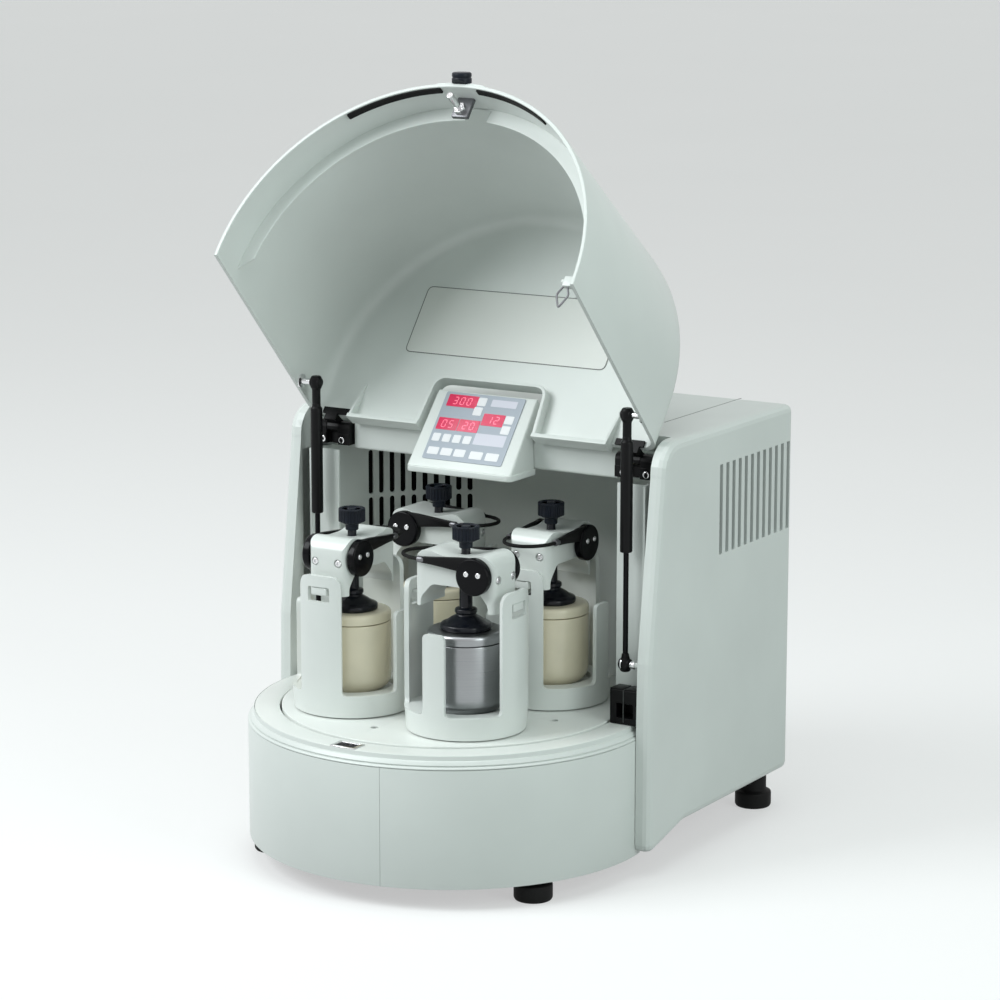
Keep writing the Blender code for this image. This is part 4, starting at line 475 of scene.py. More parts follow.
def chamber():
    half = math.acos(0.0502 / CHAMBER) * CHAMBER
    outline = oblong(-half, 0.0645, half, CHAMBER_TOP)
    holes = []
    for column in range(SLOT_COLUMNS):
        across = math.radians(SLOT_FIRST - SLOT_STEP * column) * CHAMBER
        for low, high in ((0.386, 0.4277), (0.4323, 0.494)):
            holes.append(capsule(across, low, high, SLOT_WIDE))
    wall = turned(bent(outline, holes, CHAMBER, 0.003, 0.006), 180, "Z")
    flanges = [side_block(side, 0.2155, 0.2570, (0.0557, 0.2021), (0.0587, CHAMBER_TOP))
               for side in (-1, 1)]
    return joined(wall, *flanges)


piece("chamber_wall_sheet", chamber(), SHELL_PAINT, "mill", stands_for=["chamber_wall"],
      slot="cream_shell", crisp=30)
# near-black sheets behind the chamber slots and the side vents, painted shade standing in for the
# dark inside
behind = oblong(SLOT_SHADE_R * math.radians(24), 0.381, SLOT_SHADE_R * math.radians(60), 0.499)
piece("slot_lining", turned(bent(behind, [], SLOT_SHADE_R, 0.0012, 0.006), 180, "Z"), SLOT_SHADE, "mill")
for name, side in SIDES:
    piece("vent_lining_" + name, block((side * VENT_X - 0.0008, 0.195, 0.388),
                                       (side * VENT_X + 0.0008, 0.401, 0.522)), SLOT_SHADE, "mill")


# Lid

LID_R = 0.2675
LID_INSIDE = 0.2625
LID_TOP = 0.5265
LID_RIM = 0.2040
CUT_FRONT, CUT_REAR = 0.009, 0.065
LID_END = 0.0725
FLANGE_HALF = 0.1998


def lid_shell():
    """A half-round dome with straight sides behind it, cut off along a sloping plane."""
    outer = eased(((0.0, LID_TOP), (LID_R, LID_TOP), (LID_R, LID_RIM)), (0, 0.024, 0), 8,
                  closed=False)
    rim = eased(((LID_R, 0.2050), (0.2670, LID_RIM), (0.2632, LID_RIM), (LID_INSIDE, 0.2050)),
                0.0004, 2, closed=False)
    inner = eased(((LID_INSIDE, 0.2060), (LID_INSIDE, 0.5205), (0.0, 0.5205)), (0, 0.020, 0), 8,
                  closed=False)
    profile = [tuple(p) for p in outer[:-1] + rim + inner]
    form = bmesh.new()
    points = [form.verts.new((radius, 0.0, height)) for radius, height in profile]
    edges = [form.edges.new(pair) for pair in zip(points, points[1:])]
    bmesh.ops.spin(form, geom=points + edges, cent=(0, 0, 0), axis=(0, 0, 1), dvec=(0, 0, 0),
                   angle=-math.pi, steps=80, use_merge=False)
    welded(form)
    open_edges = [e for e in form.edges if e.is_boundary]
    grown = bmesh.ops.extrude_edge_only(form, edges=open_edges)["geom"]
    bmesh.ops.translate(form, vec=(0.0, LID_END, 0.0),
                        verts=[v for v in grown if isinstance(v, bmesh.types.BMVert)])
    bmesh.ops.bisect_plane(form, geom=form.verts[:] + form.edges[:] + form.faces[:],
                           dist=NO_GAP, plane_co=(0.0, CUT_FRONT, LID_RIM),
                           plane_no=(0.0, LID_TOP - LID_RIM, CUT_FRONT - CUT_REAR),
                           clear_outer=True)
    welded(form)
    bmesh.ops.holes_fill(form, edges=[e for e in form.edges if e.is_boundary])
    return outward(form)


def opening(grow, low, high, rear):
    """The rounded console opening of the lid, grown outwards."""
    front, back = 0.0830 + grow, 0.0895 + grow
    outline = eased(((-back, rear), (-front, -grow), (front, -grow), (back, rear)),
                    (0, 0.016 + grow, 0.016 + grow, 0), 8)
    return slab(outline, low, high)


def lid():
    flange = slab(eased(((0.056, 0.5210), (0.0655, 0.5210), (0.0668, 0.5060), (0.0728, 0.5052),
                         (0.0728, 0.5262), (0.056, 0.5262)), (0, 0.003, 0.001, 0.001, 0.001, 0),
                        3), -FLANGE_HALF, FLANGE_HALF, "X")
    shell = carved(lid_shell(), flange, "UNION")
    bead = opening(0.0042, 0.5070, 0.5262, 0.0726)
    low_edges = [e for e in bead.edges if max(v.co.z for v in e.verts) < 0.508]
    shell = carved(shell, bevelled(bead, low_edges, 0.0016, 3), "UNION")
    return carved(shell, opening(0.0, 0.49, 0.54, 0.09))


piece("lid_dome", lid(), LID_PAINT, "lid", LID, stands_for=["lid_shell"], slot="lid_plastic",
      crisp=40)


def around(radius, first, last, steps):
    """Points on a circle, from one angle to another off the front."""
    turns = [math.radians(first + (last - first) * step / steps) for step in range(steps + 1)]
    return [(radius * math.sin(turn), -radius * math.cos(turn)) for turn in turns]


ledge = (around(0.2630, -90, 90, 72) + around(0.2434, 90, 6, 34) + around(0.2605, 6, -1.4, 4)
         + around(0.2434, -1.4, -86, 34))
piece("lid_ledge", slab(ledge, 0.2525, 0.2560), LID_PAINT, "lid", LID, slot="lid_plastic",
      edge=0.0010, crisp=40)
for name, first, last in (("left", -0.1630, -0.0268), ("right", 0.0268, 0.1500)):
    strip = bent(eased(oblong(first, 0.2058, last, 0.2158), 0.002, 3), [], 0.2628, 0.0024, 0.008)
    piece("buffer_strip_" + name, strip, RUBBER, "lid", LID, slot="black_rubber", edge=0.0004)
pad = bent(eased(((-0.042, 0.2060), (0.042, 0.2060), (0.036, 0.2520), (-0.036, 0.2520)), 0.012,
                 5), [], LID_R + 0.0022, 0.004, 0.006)
piece("handle_pad", pad, LID_PAINT, "lid", LID, slot="lid_plastic", edge=0.0012, steps=3)

for name, side in SIDES:
    rib = slab(eased(((0.0002, 0.5238), (0.0655, 0.5238), (0.0665, 0.5075), (0.0600, 0.5085)),
                     0.001, 2), side * 0.1975 - 0.0016, side * 0.1975 + 0.0016, "X")
    piece("lid_rib_" + name, rib, LID_PAINT, "lid", LID, slot="lid_plastic", edge=0.0006)
    stud = turned(lathe(eased(((0.0, 0.0), (0.0042, 0.0), (0.0042, 0.0130), (0.0095, 0.0140),
                               (0.0095, 0.0180), (0.0, 0.0180)), 0.0008, 2), 24), 90, "Y")
    stud = shifted(stud, 0.2470, 0.0454, 0.4684)
    if side < 0:
        bmesh.ops.scale(stud, vec=(-1, 1, 1), verts=stud.verts)
        bmesh.ops.reverse_faces(stud, faces=stud.faces)
    piece("lid_stud_" + name, stud, BRIGHT, "lid", LID, slot="bright_steel")

plate = oblong(-0.158, -0.143, 0.152, -0.040)
inner = oblong(-0.1568, -0.1418, 0.1508, -0.0412)
piece("bare_label_plate", slab(eased(plate, 0.009, 5), 0.5200, 0.5207), LABEL, "lid", LID)
line = carved(slab(eased(plate, 0.009, 5), 0.51985, 0.5203),
              slab(eased(inner, 0.008, 5), 0.51, 0.53))
piece("label_plate_line", line, LABEL_LINE, "lid", LID)

# knob, hook and striker on the rim
grip = lathe(eased(((0.0, 0.0190), (0.0110, 0.0190), (0.0126, 0.0176), (0.0128, 0.0138),
                    (0.0120, 0.0130), (0.0120, 0.0120), (0.0129, 0.0110), (0.0129, 0.0052),
                    (0.0095, 0.0040), (0.0088, -0.0085), (0.0, -0.0085)), 0.0006, 2), 48)
grip = shifted(turned(grip, LID_ANGLE, "X"), 0.0, -LID_R, 0.212)
grip = carved(grip, cylinder(LID_R + 0.0004, 0.17, 0.26, 160))
piece("lid_knob", grip, KNOB_PLASTIC, "lid", LID, stands_for=["lid_handle"],
      slot="black_plastic")
hook = cable([tuple(p) + (0.217,) for p in
              eased(((0.250, 0.0005), (0.2415, 0.018), (0.250, 0.0362), (0.2585, 0.018)),
                    0.004, 4)], 0.0013, closed=True)
piece("hook_wire", hook, DARK_STEEL, "lid", LID, slot="dark_steel")
tab = joined(block((0.2465, -0.007, 0.213), (0.262, 0.007, 0.221), 0.0012),
             shifted(turned(lathe(eased(((0.0, 0.004), (0.0035, 0.0035), (0.0035, 0.0),
                                         (0.0, 0.0)), 0.0006, 2), 20), -90, "Y"),
                     0.2467, 0.0, 0.217))
piece("hook_tab", tab, LID_PAINT, "lid", LID, slot="lid_plastic")
pin = lathe(eased(((0.0, 0.1930), (0.0040, 0.1930), (0.0046, 0.1945), (0.0046, 0.2220),
                   (0.0, 0.2220)), 0.0006, 2), 32)
nut = lathe(((0.0, 0.2215), (0.0082, 0.2215), (0.0082, 0.2290), (0.0, 0.2290)), 6)
piece("striker_pin", shifted(joined(pin, nut), 0.0, -0.2432, 0.0), BRIGHT, "lid", LID,
      stands_for=["lid_striker"], slot="bright_steel", edge=0.0004)
piece("striker_foot", block((-0.0120, -0.2626, 0.2288), (0.0120, -0.2336, 0.2350), 0.0008),
      DARK_STEEL, "lid", LID, slot="dark_steel")


# Console

FOOT = Vector((0.0, 0.0150, 0.5080))
HEAD = Vector((0.0, 0.0902, 0.6004))
SLOPE = math.degrees(math.atan2(HEAD.z - FOOT.z, HEAD.y - FOOT.y))
FACE = (MILL @ Matrix.Translation((FOOT + HEAD) / 2)
        @ Matrix.Rotation(math.radians(SLOPE), 4, "X"))
CONSOLE_HALF = 0.0800
CONSOLE_LOW, CONSOLE_TALL, CONSOLE_TAPER = 0.5035, 0.0969, 0.0035


def console():
    side = eased(((0.0152, 0.5085), (0.0178, 0.5036), (0.0765, 0.5036), (0.0765, 0.5450),
                  (0.0974, 0.5450), (0.0974, 0.5915), (0.0902, 0.6003)),
                 (0.002, 0.002, 0, 0, 0.004, 0.004, 0.006), 4)
    form = slab(side, -CONSOLE_HALF, CONSOLE_HALF, "X")
    for vert in form.verts:
        narrow = CONSOLE_HALF - (vert.co.z - CONSOLE_LOW) * CONSOLE_TAPER / CONSOLE_TALL
        vert.co.x = math.copysign(narrow, vert.co.x)
    ends = [e for e in form.edges if abs(e.verts[0].co.x - e.verts[1].co.x) < 0.01]
    bevelled(form, ends, 0.0065, 4)
    lip = slab(eased(oblong(-0.0814, 0.0122, 0.0814, 0.0765), (0.012, 0.012, 0, 0), 6),
               0.5004, 0.5090)
    return joined(form, bevelled(lip, lip.edges[:], 0.0022, 3))


piece("console_box", console(), SHELL_PAINT, "mill", stands_for=["console_housing"],
      slot="cream_shell", crisp=40)


def field(name, across, up, wide, tall, material, low, high, rounding=0.001):
    outline = eased(oblong(across - wide / 2, up - tall / 2, across + wide / 2, up + tall / 2),
                    rounding, 3)
    piece(name, slab(outline, low, high), material, "mill", FACE)


PLATE_UP = 0.004
piece("keypad_membrane",
      slab(eased(oblong(-0.061, -0.047, 0.061, 0.055), 0.003, 4), 0.0001, 0.0012), MEMBRANE,
      "mill", FACE, stands_for=["keypad_panel"], slot="keypad_grey", edge=0.0003)
DISPLAY_TALL = 0.0180
DISPLAYS = (("wide", -0.0319, 0.0382, 0.0460, "300"), ("low_left", -0.0416, 0.0026, 0.0315, "05"),
            ("low_right", -0.0092, 0.0025, 0.0315, "20"), ("right", 0.0241, 0.0146, 0.0330, "12"))
for name, across, up, wide, text in DISPLAYS:
    field("display_" + name, across, up + PLATE_UP, wide, DISPLAY_TALL, DISPLAY, 0.0010, 0.0015)
# the bars lit for each digit, and each bar's centre in half widths and half heights
LIT = {"2": "abged", "0": "abcdef", "5": "afgcd", "3": "abgcd", "1": "bc"}
BARS = {"a": (0, 1, 1), "b": (0.5, 0.5, 0), "c": (0.5, -0.5, 0), "d": (0, -1, 1),
        "e": (-0.5, -0.5, 0), "f": (-0.5, 0.5, 0), "g": (0, 0, 1)}


DIGIT_STEP = 0.0105
DIGIT_WIDE, DIGIT_TALL, DIGIT_LEAN = 0.0056, 0.0052, 0.0006
BAR_LONG, BAR_THICK = 0.0042, 0.0011


def number(text, across, up):
    """Seven-bar digits side by side, leaning a little."""
    forms = []
    for index, digit in enumerate(text):
        middle = across + (index - (len(text) - 1) / 2) * DIGIT_STEP
        for bar in LIT[digit]:
            x, z, flat = BARS[bar]
            wide, tall = (BAR_LONG, BAR_THICK) if flat else (BAR_THICK, BAR_LONG)
            centre = (middle + x * DIGIT_WIDE + z * DIGIT_LEAN, up + z * DIGIT_TALL)
            forms.append(block((centre[0] - wide / 2, centre[1] - tall / 2, 0.0014),
                               (centre[0] + wide / 2, centre[1] + tall / 2, 0.0017)))
    return joined(*forms)


for name, across, up, wide, text in DISPLAYS:
    piece("number_" + name, number(text, across, up + PLATE_UP), DIGIT, "mill", FACE)
KEYS = [(-0.0023, 0.0400, 0.0130, 0.0125), (-0.0038, 0.0254, 0.0130, 0.0125),
        (0.0478, 0.0171, 0.0130, 0.0120), (0.0477, 0.0018, 0.0130, 0.0125)]
KEYS += [(-0.0508 + 0.0158 * i, -0.0184, 0.0118, 0.0118) for i in range(4)]
KEYS += [(-0.0478 + 0.0204 * i, -0.0387, 0.0168, 0.0110) for i in range(3)]
KEYS += [(0.0186 + 0.0244 * i, -0.0395, 0.0195, 0.0115) for i in range(2)]
for index, (across, up, wide, tall) in enumerate(KEYS):
    field("key_%d" % index, across, up + PLATE_UP, wide, tall, KEY_WHITE, 0.0010, 0.0016, 0.0016)
field("bare_field_top", 0.0316, 0.0400 + PLATE_UP, 0.039, 0.0105, FIELD, 0.0010, 0.0014)
field("bare_field_low", 0.0300, -0.0150 + PLATE_UP, 0.047, 0.0170, FIELD, 0.0010, 0.0013)


# Lid hinges, screws and gas springs

def socket_screw(radius, height):
    """A round-headed screw with a hexagonal socket, its head towards +Z."""
    head = lathe(eased(((0.0, height), (radius, height), (radius, 0.0), (0.0, 0.0)),
                       (0, radius * 0.35, 0, 0), 4), 32)
    return carved(head, shifted(cylinder(radius * 0.5, 0.0, 1.0, 6), 0.0, 0.0, height * 0.35))


def facing(form, axis, x, y, z):
    """The form with its top turned towards an axis, and put in place."""
    turns = {"-Y": (90, "X"), "+Y": (-90, "X"), "+X": (90, "Y"), "-X": (-90, "Y")}
    return shifted(turned(form, *turns[axis]), x, y, z)


for name, spots in (("left", (-0.2478, -0.2178)), ("right", (0.2178, 0.2515))):
    for index, across in enumerate(spots):
        piece("hinge_screw_%s_%d" % (name, index),
              facing(socket_screw(0.0048, 0.0022), "-Y", across, 0.0674, 0.5192), BRIGHT, "mill")
# a ridge either side of each hinge arm, clear of the arm when the lid is down
for name, side in SIDES:
    ridges = [side_block(side, inner, outer, (0.0652, 0.5262), (0.0662, 0.5280), 0.0004)
              for inner, outer in ((0.2058, 0.2226), (0.2430, 0.2598))]
    piece("hinge_ridge_" + name, joined(*ridges), PLASTIC, "mill")

SPRING_X, SPRING_Y = 0.239, 0.0383
LOW_EYE, HIGH_EYE = 0.275, 0.6009


def ball_end(radius):
    """The ball cup at the low end of a gas spring: a rounded cup that thins to a shank."""
    return eased(((0.0, -0.0098), (radius * 0.75, -0.0095), (radius, -0.004), (radius, 0.003),
                  (radius * 0.66, 0.0085), (radius * 0.55, 0.0146), (0.0, 0.0146)), 0.0016, 3,
                 closed=False)


def barrel(end, middle, half):
    """A short cylinder along X with chamfered ends."""
    profile = eased(((0.0, half), (end, half), (middle, 0.0066), (middle, -0.0066),
                     (end, -half), (0.0, -half)), 0.0006, 2)
    return turned(lathe(profile, 32), 90, "Y")


for name, side in SIDES:
    across = side * SPRING_X
    piece("spring_rod_" + name,
          shifted(cylinder(0.0035, 0.015, 0.160, 32), across, SPRING_Y, LOW_EYE), DISC_BLACK,
          "spring_rod_" + name, stands_for=["gas_spring_rod_" + name], slot="dark_steel")
    cup = joined(lathe(ball_end(0.0082), 32), barrel(0.0062, 0.0072, 0.0078))
    piece("spring_low_cup_" + name, shifted(cup, across, SPRING_Y, LOW_EYE), PLASTIC,
          "spring_rod_" + name, slot="black_plastic")
    clip = turned(lathe(((0.0078, 0.0008), (0.0086, 0.0008), (0.0086, -0.0008),
                         (0.0078, -0.0008)), 32, ring=True), 90, "Y")
    piece("spring_clip_" + name, shifted(clip, across - 0.0030, SPRING_Y, LOW_EYE), BRIGHT,
          "spring_rod_" + name, slot="bright_steel")
    tube = lathe(eased(((0.0, -0.028), (0.0058, -0.028), (0.0060, -0.0330), (0.0080, -0.0350),
                        (0.0080, -0.1770), (0.0072, -0.1785), (0.0040, -0.1785),
                        (0.0040, -0.0300), (0.0, -0.0300)), 0.0012, 3), 48)
    head = lathe(eased(((0.0, 0.0090), (0.0062, 0.0088), (0.0080, 0.0050), (0.0080, -0.0060),
                        (0.0058, -0.0095), (0.0058, -0.0290), (0.0, -0.0290)), 0.0016, 3), 40)
    whole_tube = joined(tube, head, barrel(0.0055, 0.0068, 0.0079))
    piece("spring_tube_" + name, shifted(whole_tube, across, SPRING_Y, HIGH_EYE), PLASTIC,
          "spring_tube_" + name, stands_for=["gas_spring_tube_" + name],
          slot="black_plastic")
    pin = turned(lathe(eased(((0.0, 0.0225), (0.0035, 0.0225), (0.0035, 0.0155),
                              (0.0052, 0.0150), (0.0052, 0.0080), (0.0, 0.0080)), 0.0006, 2),
                       24), 90 * side, "Y")
    piece("spring_low_pin_" + name, shifted(pin, across, SPRING_Y, LOW_EYE), BRIGHT, "mill")
    glint = turned(lathe(eased(((0.0, 0.0104), (0.0030, 0.0102), (0.0040, 0.0078),
                                (0.0, 0.0078)), 0.0006, 2), 24), -90, "Y")
    piece("spring_high_rivet_" + name, shifted(glint, across, SPRING_Y, HIGH_EYE), BRIGHT,
          "spring_tube_" + name)

# lock block: a dark strip of painted shadow in the seam between its two halves, and a cap on each
piece("lock_seam", joined(block((0.2478, 0.0166, 0.2030), (0.2490, 0.0176, 0.2464)),
                          block((0.2478, 0.0176, 0.2440), (0.2490, 0.0422, 0.2464))), SEAM_SHADOW,
      "mill")
for name, left, right in (("lock_cap", 0.2285, 0.2470), ("lock_cap_outer", 0.2498, 0.2688)):
    piece(name, block((left, 0.0178, 0.2455), (right, 0.0414, 0.2472), 0.0006), PLASTIC, "mill",
          slot="black_plastic")


# Bowl holders, bowls and clamps, each about its own axis

CUP_R = 0.080
POST_WALL = 0.006
CUP_TAPER, TAPER_TOP = 0.040, 0.240
KNOB_COUNT, KNOB_FLUTE = 24, 0.935
LEVER_X, LEVER_SIDE, LEVER_Z = 0.033, 0.0351, 0.409
LOOP_Z = 0.423


def holder():
    tall = CUP_R * math.asin(0.0315 / CUP_R)
    short = CUP_R * math.asin(0.016 / CUP_R)
    quarter = CUP_R * math.pi / 2
    low, rim, tall_top, short_top = 0.2038, 0.2330, 0.390, 0.339
    corners = [(-2 * quarter, low, 0), (2 * quarter, low, 0), (2 * quarter, short_top, 0)]
    for middle, half, top, rounding in ((2 * quarter, short, short_top, 0.008),
                                        (quarter, tall, tall_top, 0.017),
                                        (0.0, short, short_top, 0.008),
                                        (-quarter, tall, tall_top, 0.017),
                                        (-2 * quarter, short, short_top, 0.008)):
        right = [(middle + half, rim, 0.007), (middle + half, top, rounding)]
        left = [(middle - half, top, rounding), (middle - half, rim, 0.007)]
        if middle < 2 * quarter:
            corners += right
        if middle > -2 * quarter:
            corners += left
    corners.append((-2 * quarter, short_top, 0))
    outline = eased([c[:2] for c in corners], [c[2] for c in corners], 6)
    windows = []
    for middle in (-quarter, quarter):
        window = oblong(middle - 0.0166, 0.3560, middle + 0.0166, 0.3755)
        windows.append([tuple(p) for p in eased(window, 0.003, 3)])
    wall = bent([tuple(p) for p in outline], windows, CUP_R, POST_WALL, 0.0041)
    for vert in wall.verts:
        share = 1.0 - CUP_TAPER * max(0.0, (TAPER_TOP - vert.co.z) / (TAPER_TOP - low))
        vert.co.x *= share
        vert.co.y *= share
    cup = lathe(eased(((0.0, 0.2245), (0.0530, 0.2245), (0.0530, 0.2322), (0.0752, 0.2322),
                       (0.0742, 0.2045), (0.0125, 0.2045), (0.0125, 0.178), (0.0219, 0.178),
                       (0.0219, 0.134), (0.0, 0.134)),
                      (0, 0.002, 0.0015, 0, 0, 0, 0, 0.001, 0.001, 0), 3), 80)
    return joined(cup, wall)


def bowl():
    return lathe(eased(((0.0, 0.2348), (0.0427, 0.2348), (0.0427, 0.3177), (0.0499, 0.3177),
                        (0.0502, 0.3163), (0.0502, 0.2248), (0.0, 0.2248)),
                       (0, 0.014, 0.0005, 0.0006, 0, 0.024, 0), 9), 96)


def bowl_lid():
    return lathe(eased(((0.0, 0.3317), (0.0468, 0.3320), (0.0502, 0.3290), (0.0502, 0.3194),
                        (0.0497, 0.3189), (0.0421, 0.3189), (0.0421, 0.3145), (0.0, 0.3145)),
                       (0, 0.0035, 0.003, 0.0005, 0.0005, 0.0005, 0.0005, 0), 4), 96)


def bridge():
    outline = eased(((0.0500, 0.3610), (0.0600, 0.3610), (0.0600, 0.4240), (0.0440, 0.4370),
                     (0.0160, 0.4290), (-0.0160, 0.4290), (-0.0440, 0.4370),
                     (-0.0600, 0.4240), (-0.0600, 0.3610), (-0.0500, 0.3610),
                     (-0.0500, 0.3720), (-0.0330, 0.3910), (0.0330, 0.3910), (0.0500, 0.3720)),
                    (0.002, 0, 0.012, 0.012, 0.010, 0.010, 0.012, 0.012, 0, 0.002, 0.006,
                     0.006, 0.006, 0.006), 6)
    form = slab(outline, -0.029, 0.029, "Y")
    ends = eased(oblong(-0.060, -0.029, 0.060, 0.029), 0.012, 6)
    form = carved(form, slab(ends, 0.30, 0.50), "INTERSECT")
    form = carved(form, cylinder(0.0068, 0.30, 0.50, 32))
    for side in (-1, 1):
        for across in (-0.0175, 0.0175):
            pocket = turned(cylinder(0.0056, 0.0, 0.02, 24), 90 * side, "Y")
            form = carved(form, shifted(pocket, side * 0.0566, across, 0.4040))
    return welded(form)


def lugs():
    return joined(*(side_block(side, 0.0590, 0.0785, (-0.0120, 0.3640), (0.0120, 0.3745),
                               0.0018, 3) for side in (-1, 1)))


def knob():
    form = bmesh.new()
    bmesh.ops.create_circle(form, cap_ends=True, segments=KNOB_COUNT * 4, radius=0.0175)
    for index, vert in enumerate(form.verts):
        if index % 4 in (0, 1):
            vert.co.x *= KNOB_FLUTE
            vert.co.y *= KNOB_FLUTE
    grown = bmesh.ops.extrude_face_region(form, geom=form.faces[:])["geom"]
    top = [v for v in grown if isinstance(v, bmesh.types.BMVert)]
    bmesh.ops.translate(form, vec=(0, 0, 0.0160), verts=top)
    cap = [f for f in grown if isinstance(f, bmesh.types.BMFace)][0]
    for thick, deep in ((0.0016, 0.0015), (0.0024, -0.0004), (0.0006, -0.0016)):
        bmesh.ops.inset_region(form, faces=[cap], thickness=thick, depth=deep,
                               use_even_offset=False)
    shifted(outward(form), 0.0, 0.0, 0.448)
    neck = lathe(eased(((0.0, 0.4490), (0.0150, 0.4490), (0.0128, 0.4458), (0.0088, 0.4445),
                        (0.0085, 0.4366), (0.0, 0.4366)), 0.0012, 3), 48)
    hub = lathe(eased(((0.0, 0.4652), (0.0060, 0.4652), (0.0066, 0.4620), (0.0, 0.4620)),
                      0.0008, 3), 32)
    return joined(form, neck, hub)


def screw_and_pad():
    profile = eased(((0.0, 0.4372), (0.0058, 0.4372), (0.0058, 0.3866), (0.0085, 0.3860),
                     (0.0085, 0.3595), (0.0138, 0.3583), (0.0145, 0.3563), (0.0145, 0.3531),
                     (0.0128, 0.3521), (0.0132, 0.3498), (0.0200, 0.3460), (0.0255, 0.3420),
                     (0.0322, 0.3392), (0.0330, 0.3372), (0.0330, 0.3328), (0.0315, 0.3321),
                     (0.0, 0.3321)), 0.0014, 3)
    return lathe(profile, 72)


def lever_hubs():
    """The lever's axle with a round hub at each end."""
    axle = cylinder(0.0054, -0.038, 0.038, 24)
    forms = [facing(axle, "-Y", LEVER_X, 0.0, LEVER_Z)]
    for side in (-1, 1):
        hub = lathe(eased(((0.0, 0.0056), (0.0228, 0.0056), (0.0240, 0.0040),
                           (0.0240, -0.0050), (0.0, -0.0050)),
                          (0, 0.0012, 0.0010, 0.0008, 0), 3), 72)
        forms.append(shifted(turned(hub, -90 * side, "X"), LEVER_X, side * 0.0349, LEVER_Z))
    return joined(*forms)


def lever_arms():
    forms = []
    for side in (-1, 1):
        outline = eased(((0.0330, 0.4325), (0.0100, 0.4315), (-0.0300, 0.4278),
                         (-0.0450, 0.4268), (-0.0450, 0.4192), (-0.0260, 0.4180),
                         (0.0130, 0.4140), (0.0330, 0.4110)), 0.003, 3)
        middle = side * LEVER_SIDE
        arm = slab(outline, middle - 0.0029, middle + 0.0029, "Y")
        forms.append(bevelled(arm, arm.edges[:], 0.0008, 2))
    return joined(*forms)


def lever_ferrules():
    forms = []
    for side in (-1, 1):
        sleeve = turned(lathe(eased(((0.0, 0.0), (0.0034, 0.0), (0.0042, 0.003),
                                     (0.0042, 0.010), (0.0, 0.010)), 0.0008, 2), 24), -90, "Y")
        forms.append(shifted(sleeve, -0.0400, side * LEVER_SIDE, LOOP_Z))
    return joined(*forms)


def lever_loop():
    """The wire loop from one arm of the lever round to the other."""
    points = [(-0.030, LEVER_SIDE, LOOP_Z)]
    for step in range(33):
        angle = math.pi * step / 32
        points.append((-0.046 - 0.0436 * math.sin(angle), LEVER_SIDE * math.cos(angle), LOOP_Z))
    points.append((-0.030, -LEVER_SIDE, LOOP_Z))
    return cable(points, 0.0024)


def screw_set(spots, radius, height):
    return joined(*(facing(socket_screw(radius, height), *spot) for spot in spots))


hub_screws = screw_set([(axis, x, y, 0.4125) for axis, y in (("-Y", -0.0402), ("+Y", 0.0402))
                        for x in (0.0252, 0.0429)], 0.0036, 0.0018)
bridge_screws = screw_set([(axis, x, y, 0.404) for axis, x in (("+X", 0.0567), ("-X", -0.0567))
                           for y in (-0.0175, 0.0175)], 0.0046, 0.0030)
STATION = {
    "holder_casting": (holder(), CAST_PAINT, "holder_", "bowl_holder_", "cast_white",
                       dict(edge=0.0012, steps=3, crisp=40)),
    "grinding_bowl": (bowl(), CERAMIC, "holder_", "bowl_", "cream_ceramic", {}),
    "bowl_cover": (bowl_lid(), CERAMIC, "holder_", "bowl_lid_", "cream_ceramic", {}),
    "clamp_yoke": (bridge(), CAST_PAINT, "holder_", "clamp_bridge_", "cast_white",
                   dict(edge=0.0022, steps=4, crisp=38)),
    "yoke_lugs": (lugs(), CAST_PAINT, "holder_", None, "cast_white", {}),
    "yoke_screws": (bridge_screws, BRIGHT, "holder_", None, None, {}),
    "pressure_pad": (screw_and_pad(), PAD_RUBBER, "spindle_", "clamp_spindle_",
                     "black_plastic", {}),
    "clamp_knob": (knob(), KNOB_PLASTIC, "spindle_", None, "black_plastic",
                   dict(edge=0.0003)),
    "lever_hubs": (lever_hubs(), DISC_BLACK, "lever_", "clamp_lever_", "black_plastic", {}),
    "lever_arms": (lever_arms(), PLASTIC, "lever_", None, "black_plastic", {}),
    "lever_ferrules": (lever_ferrules(), DARK_STEEL, "lever_", None, None, {}),
    "lever_loop": (lever_loop(), RUBBER, "lever_", None, None, {}),
    "hub_screws": (hub_screws, BRIGHT, "lever_", None, None, {}),
}
for index, side in enumerate(HOLDERS):
    angle = math.radians(FIRST_HOLDER + 90 * index)
    place = (MILL @ Matrix.Translation((HOLDER_CIRCLE * math.cos(angle),
                                        HOLDER_CIRCLE * math.sin(angle), 0.0))
             @ Matrix.Rotation(math.radians(90 * index), 4, "Z"))
    for name, (form, material, body, node, slot, edges) in STATION.items():
        if side == "front" and material == CERAMIC:
            material, slot = BRUSHED, "bright_steel"
        piece("%s_%s" % (name, side), form.copy(), material, body + side, place,
              stands_for=[node + side] if node else (), slot=slot, **edges)
for parts in STATION.values():
    parts[0].free()
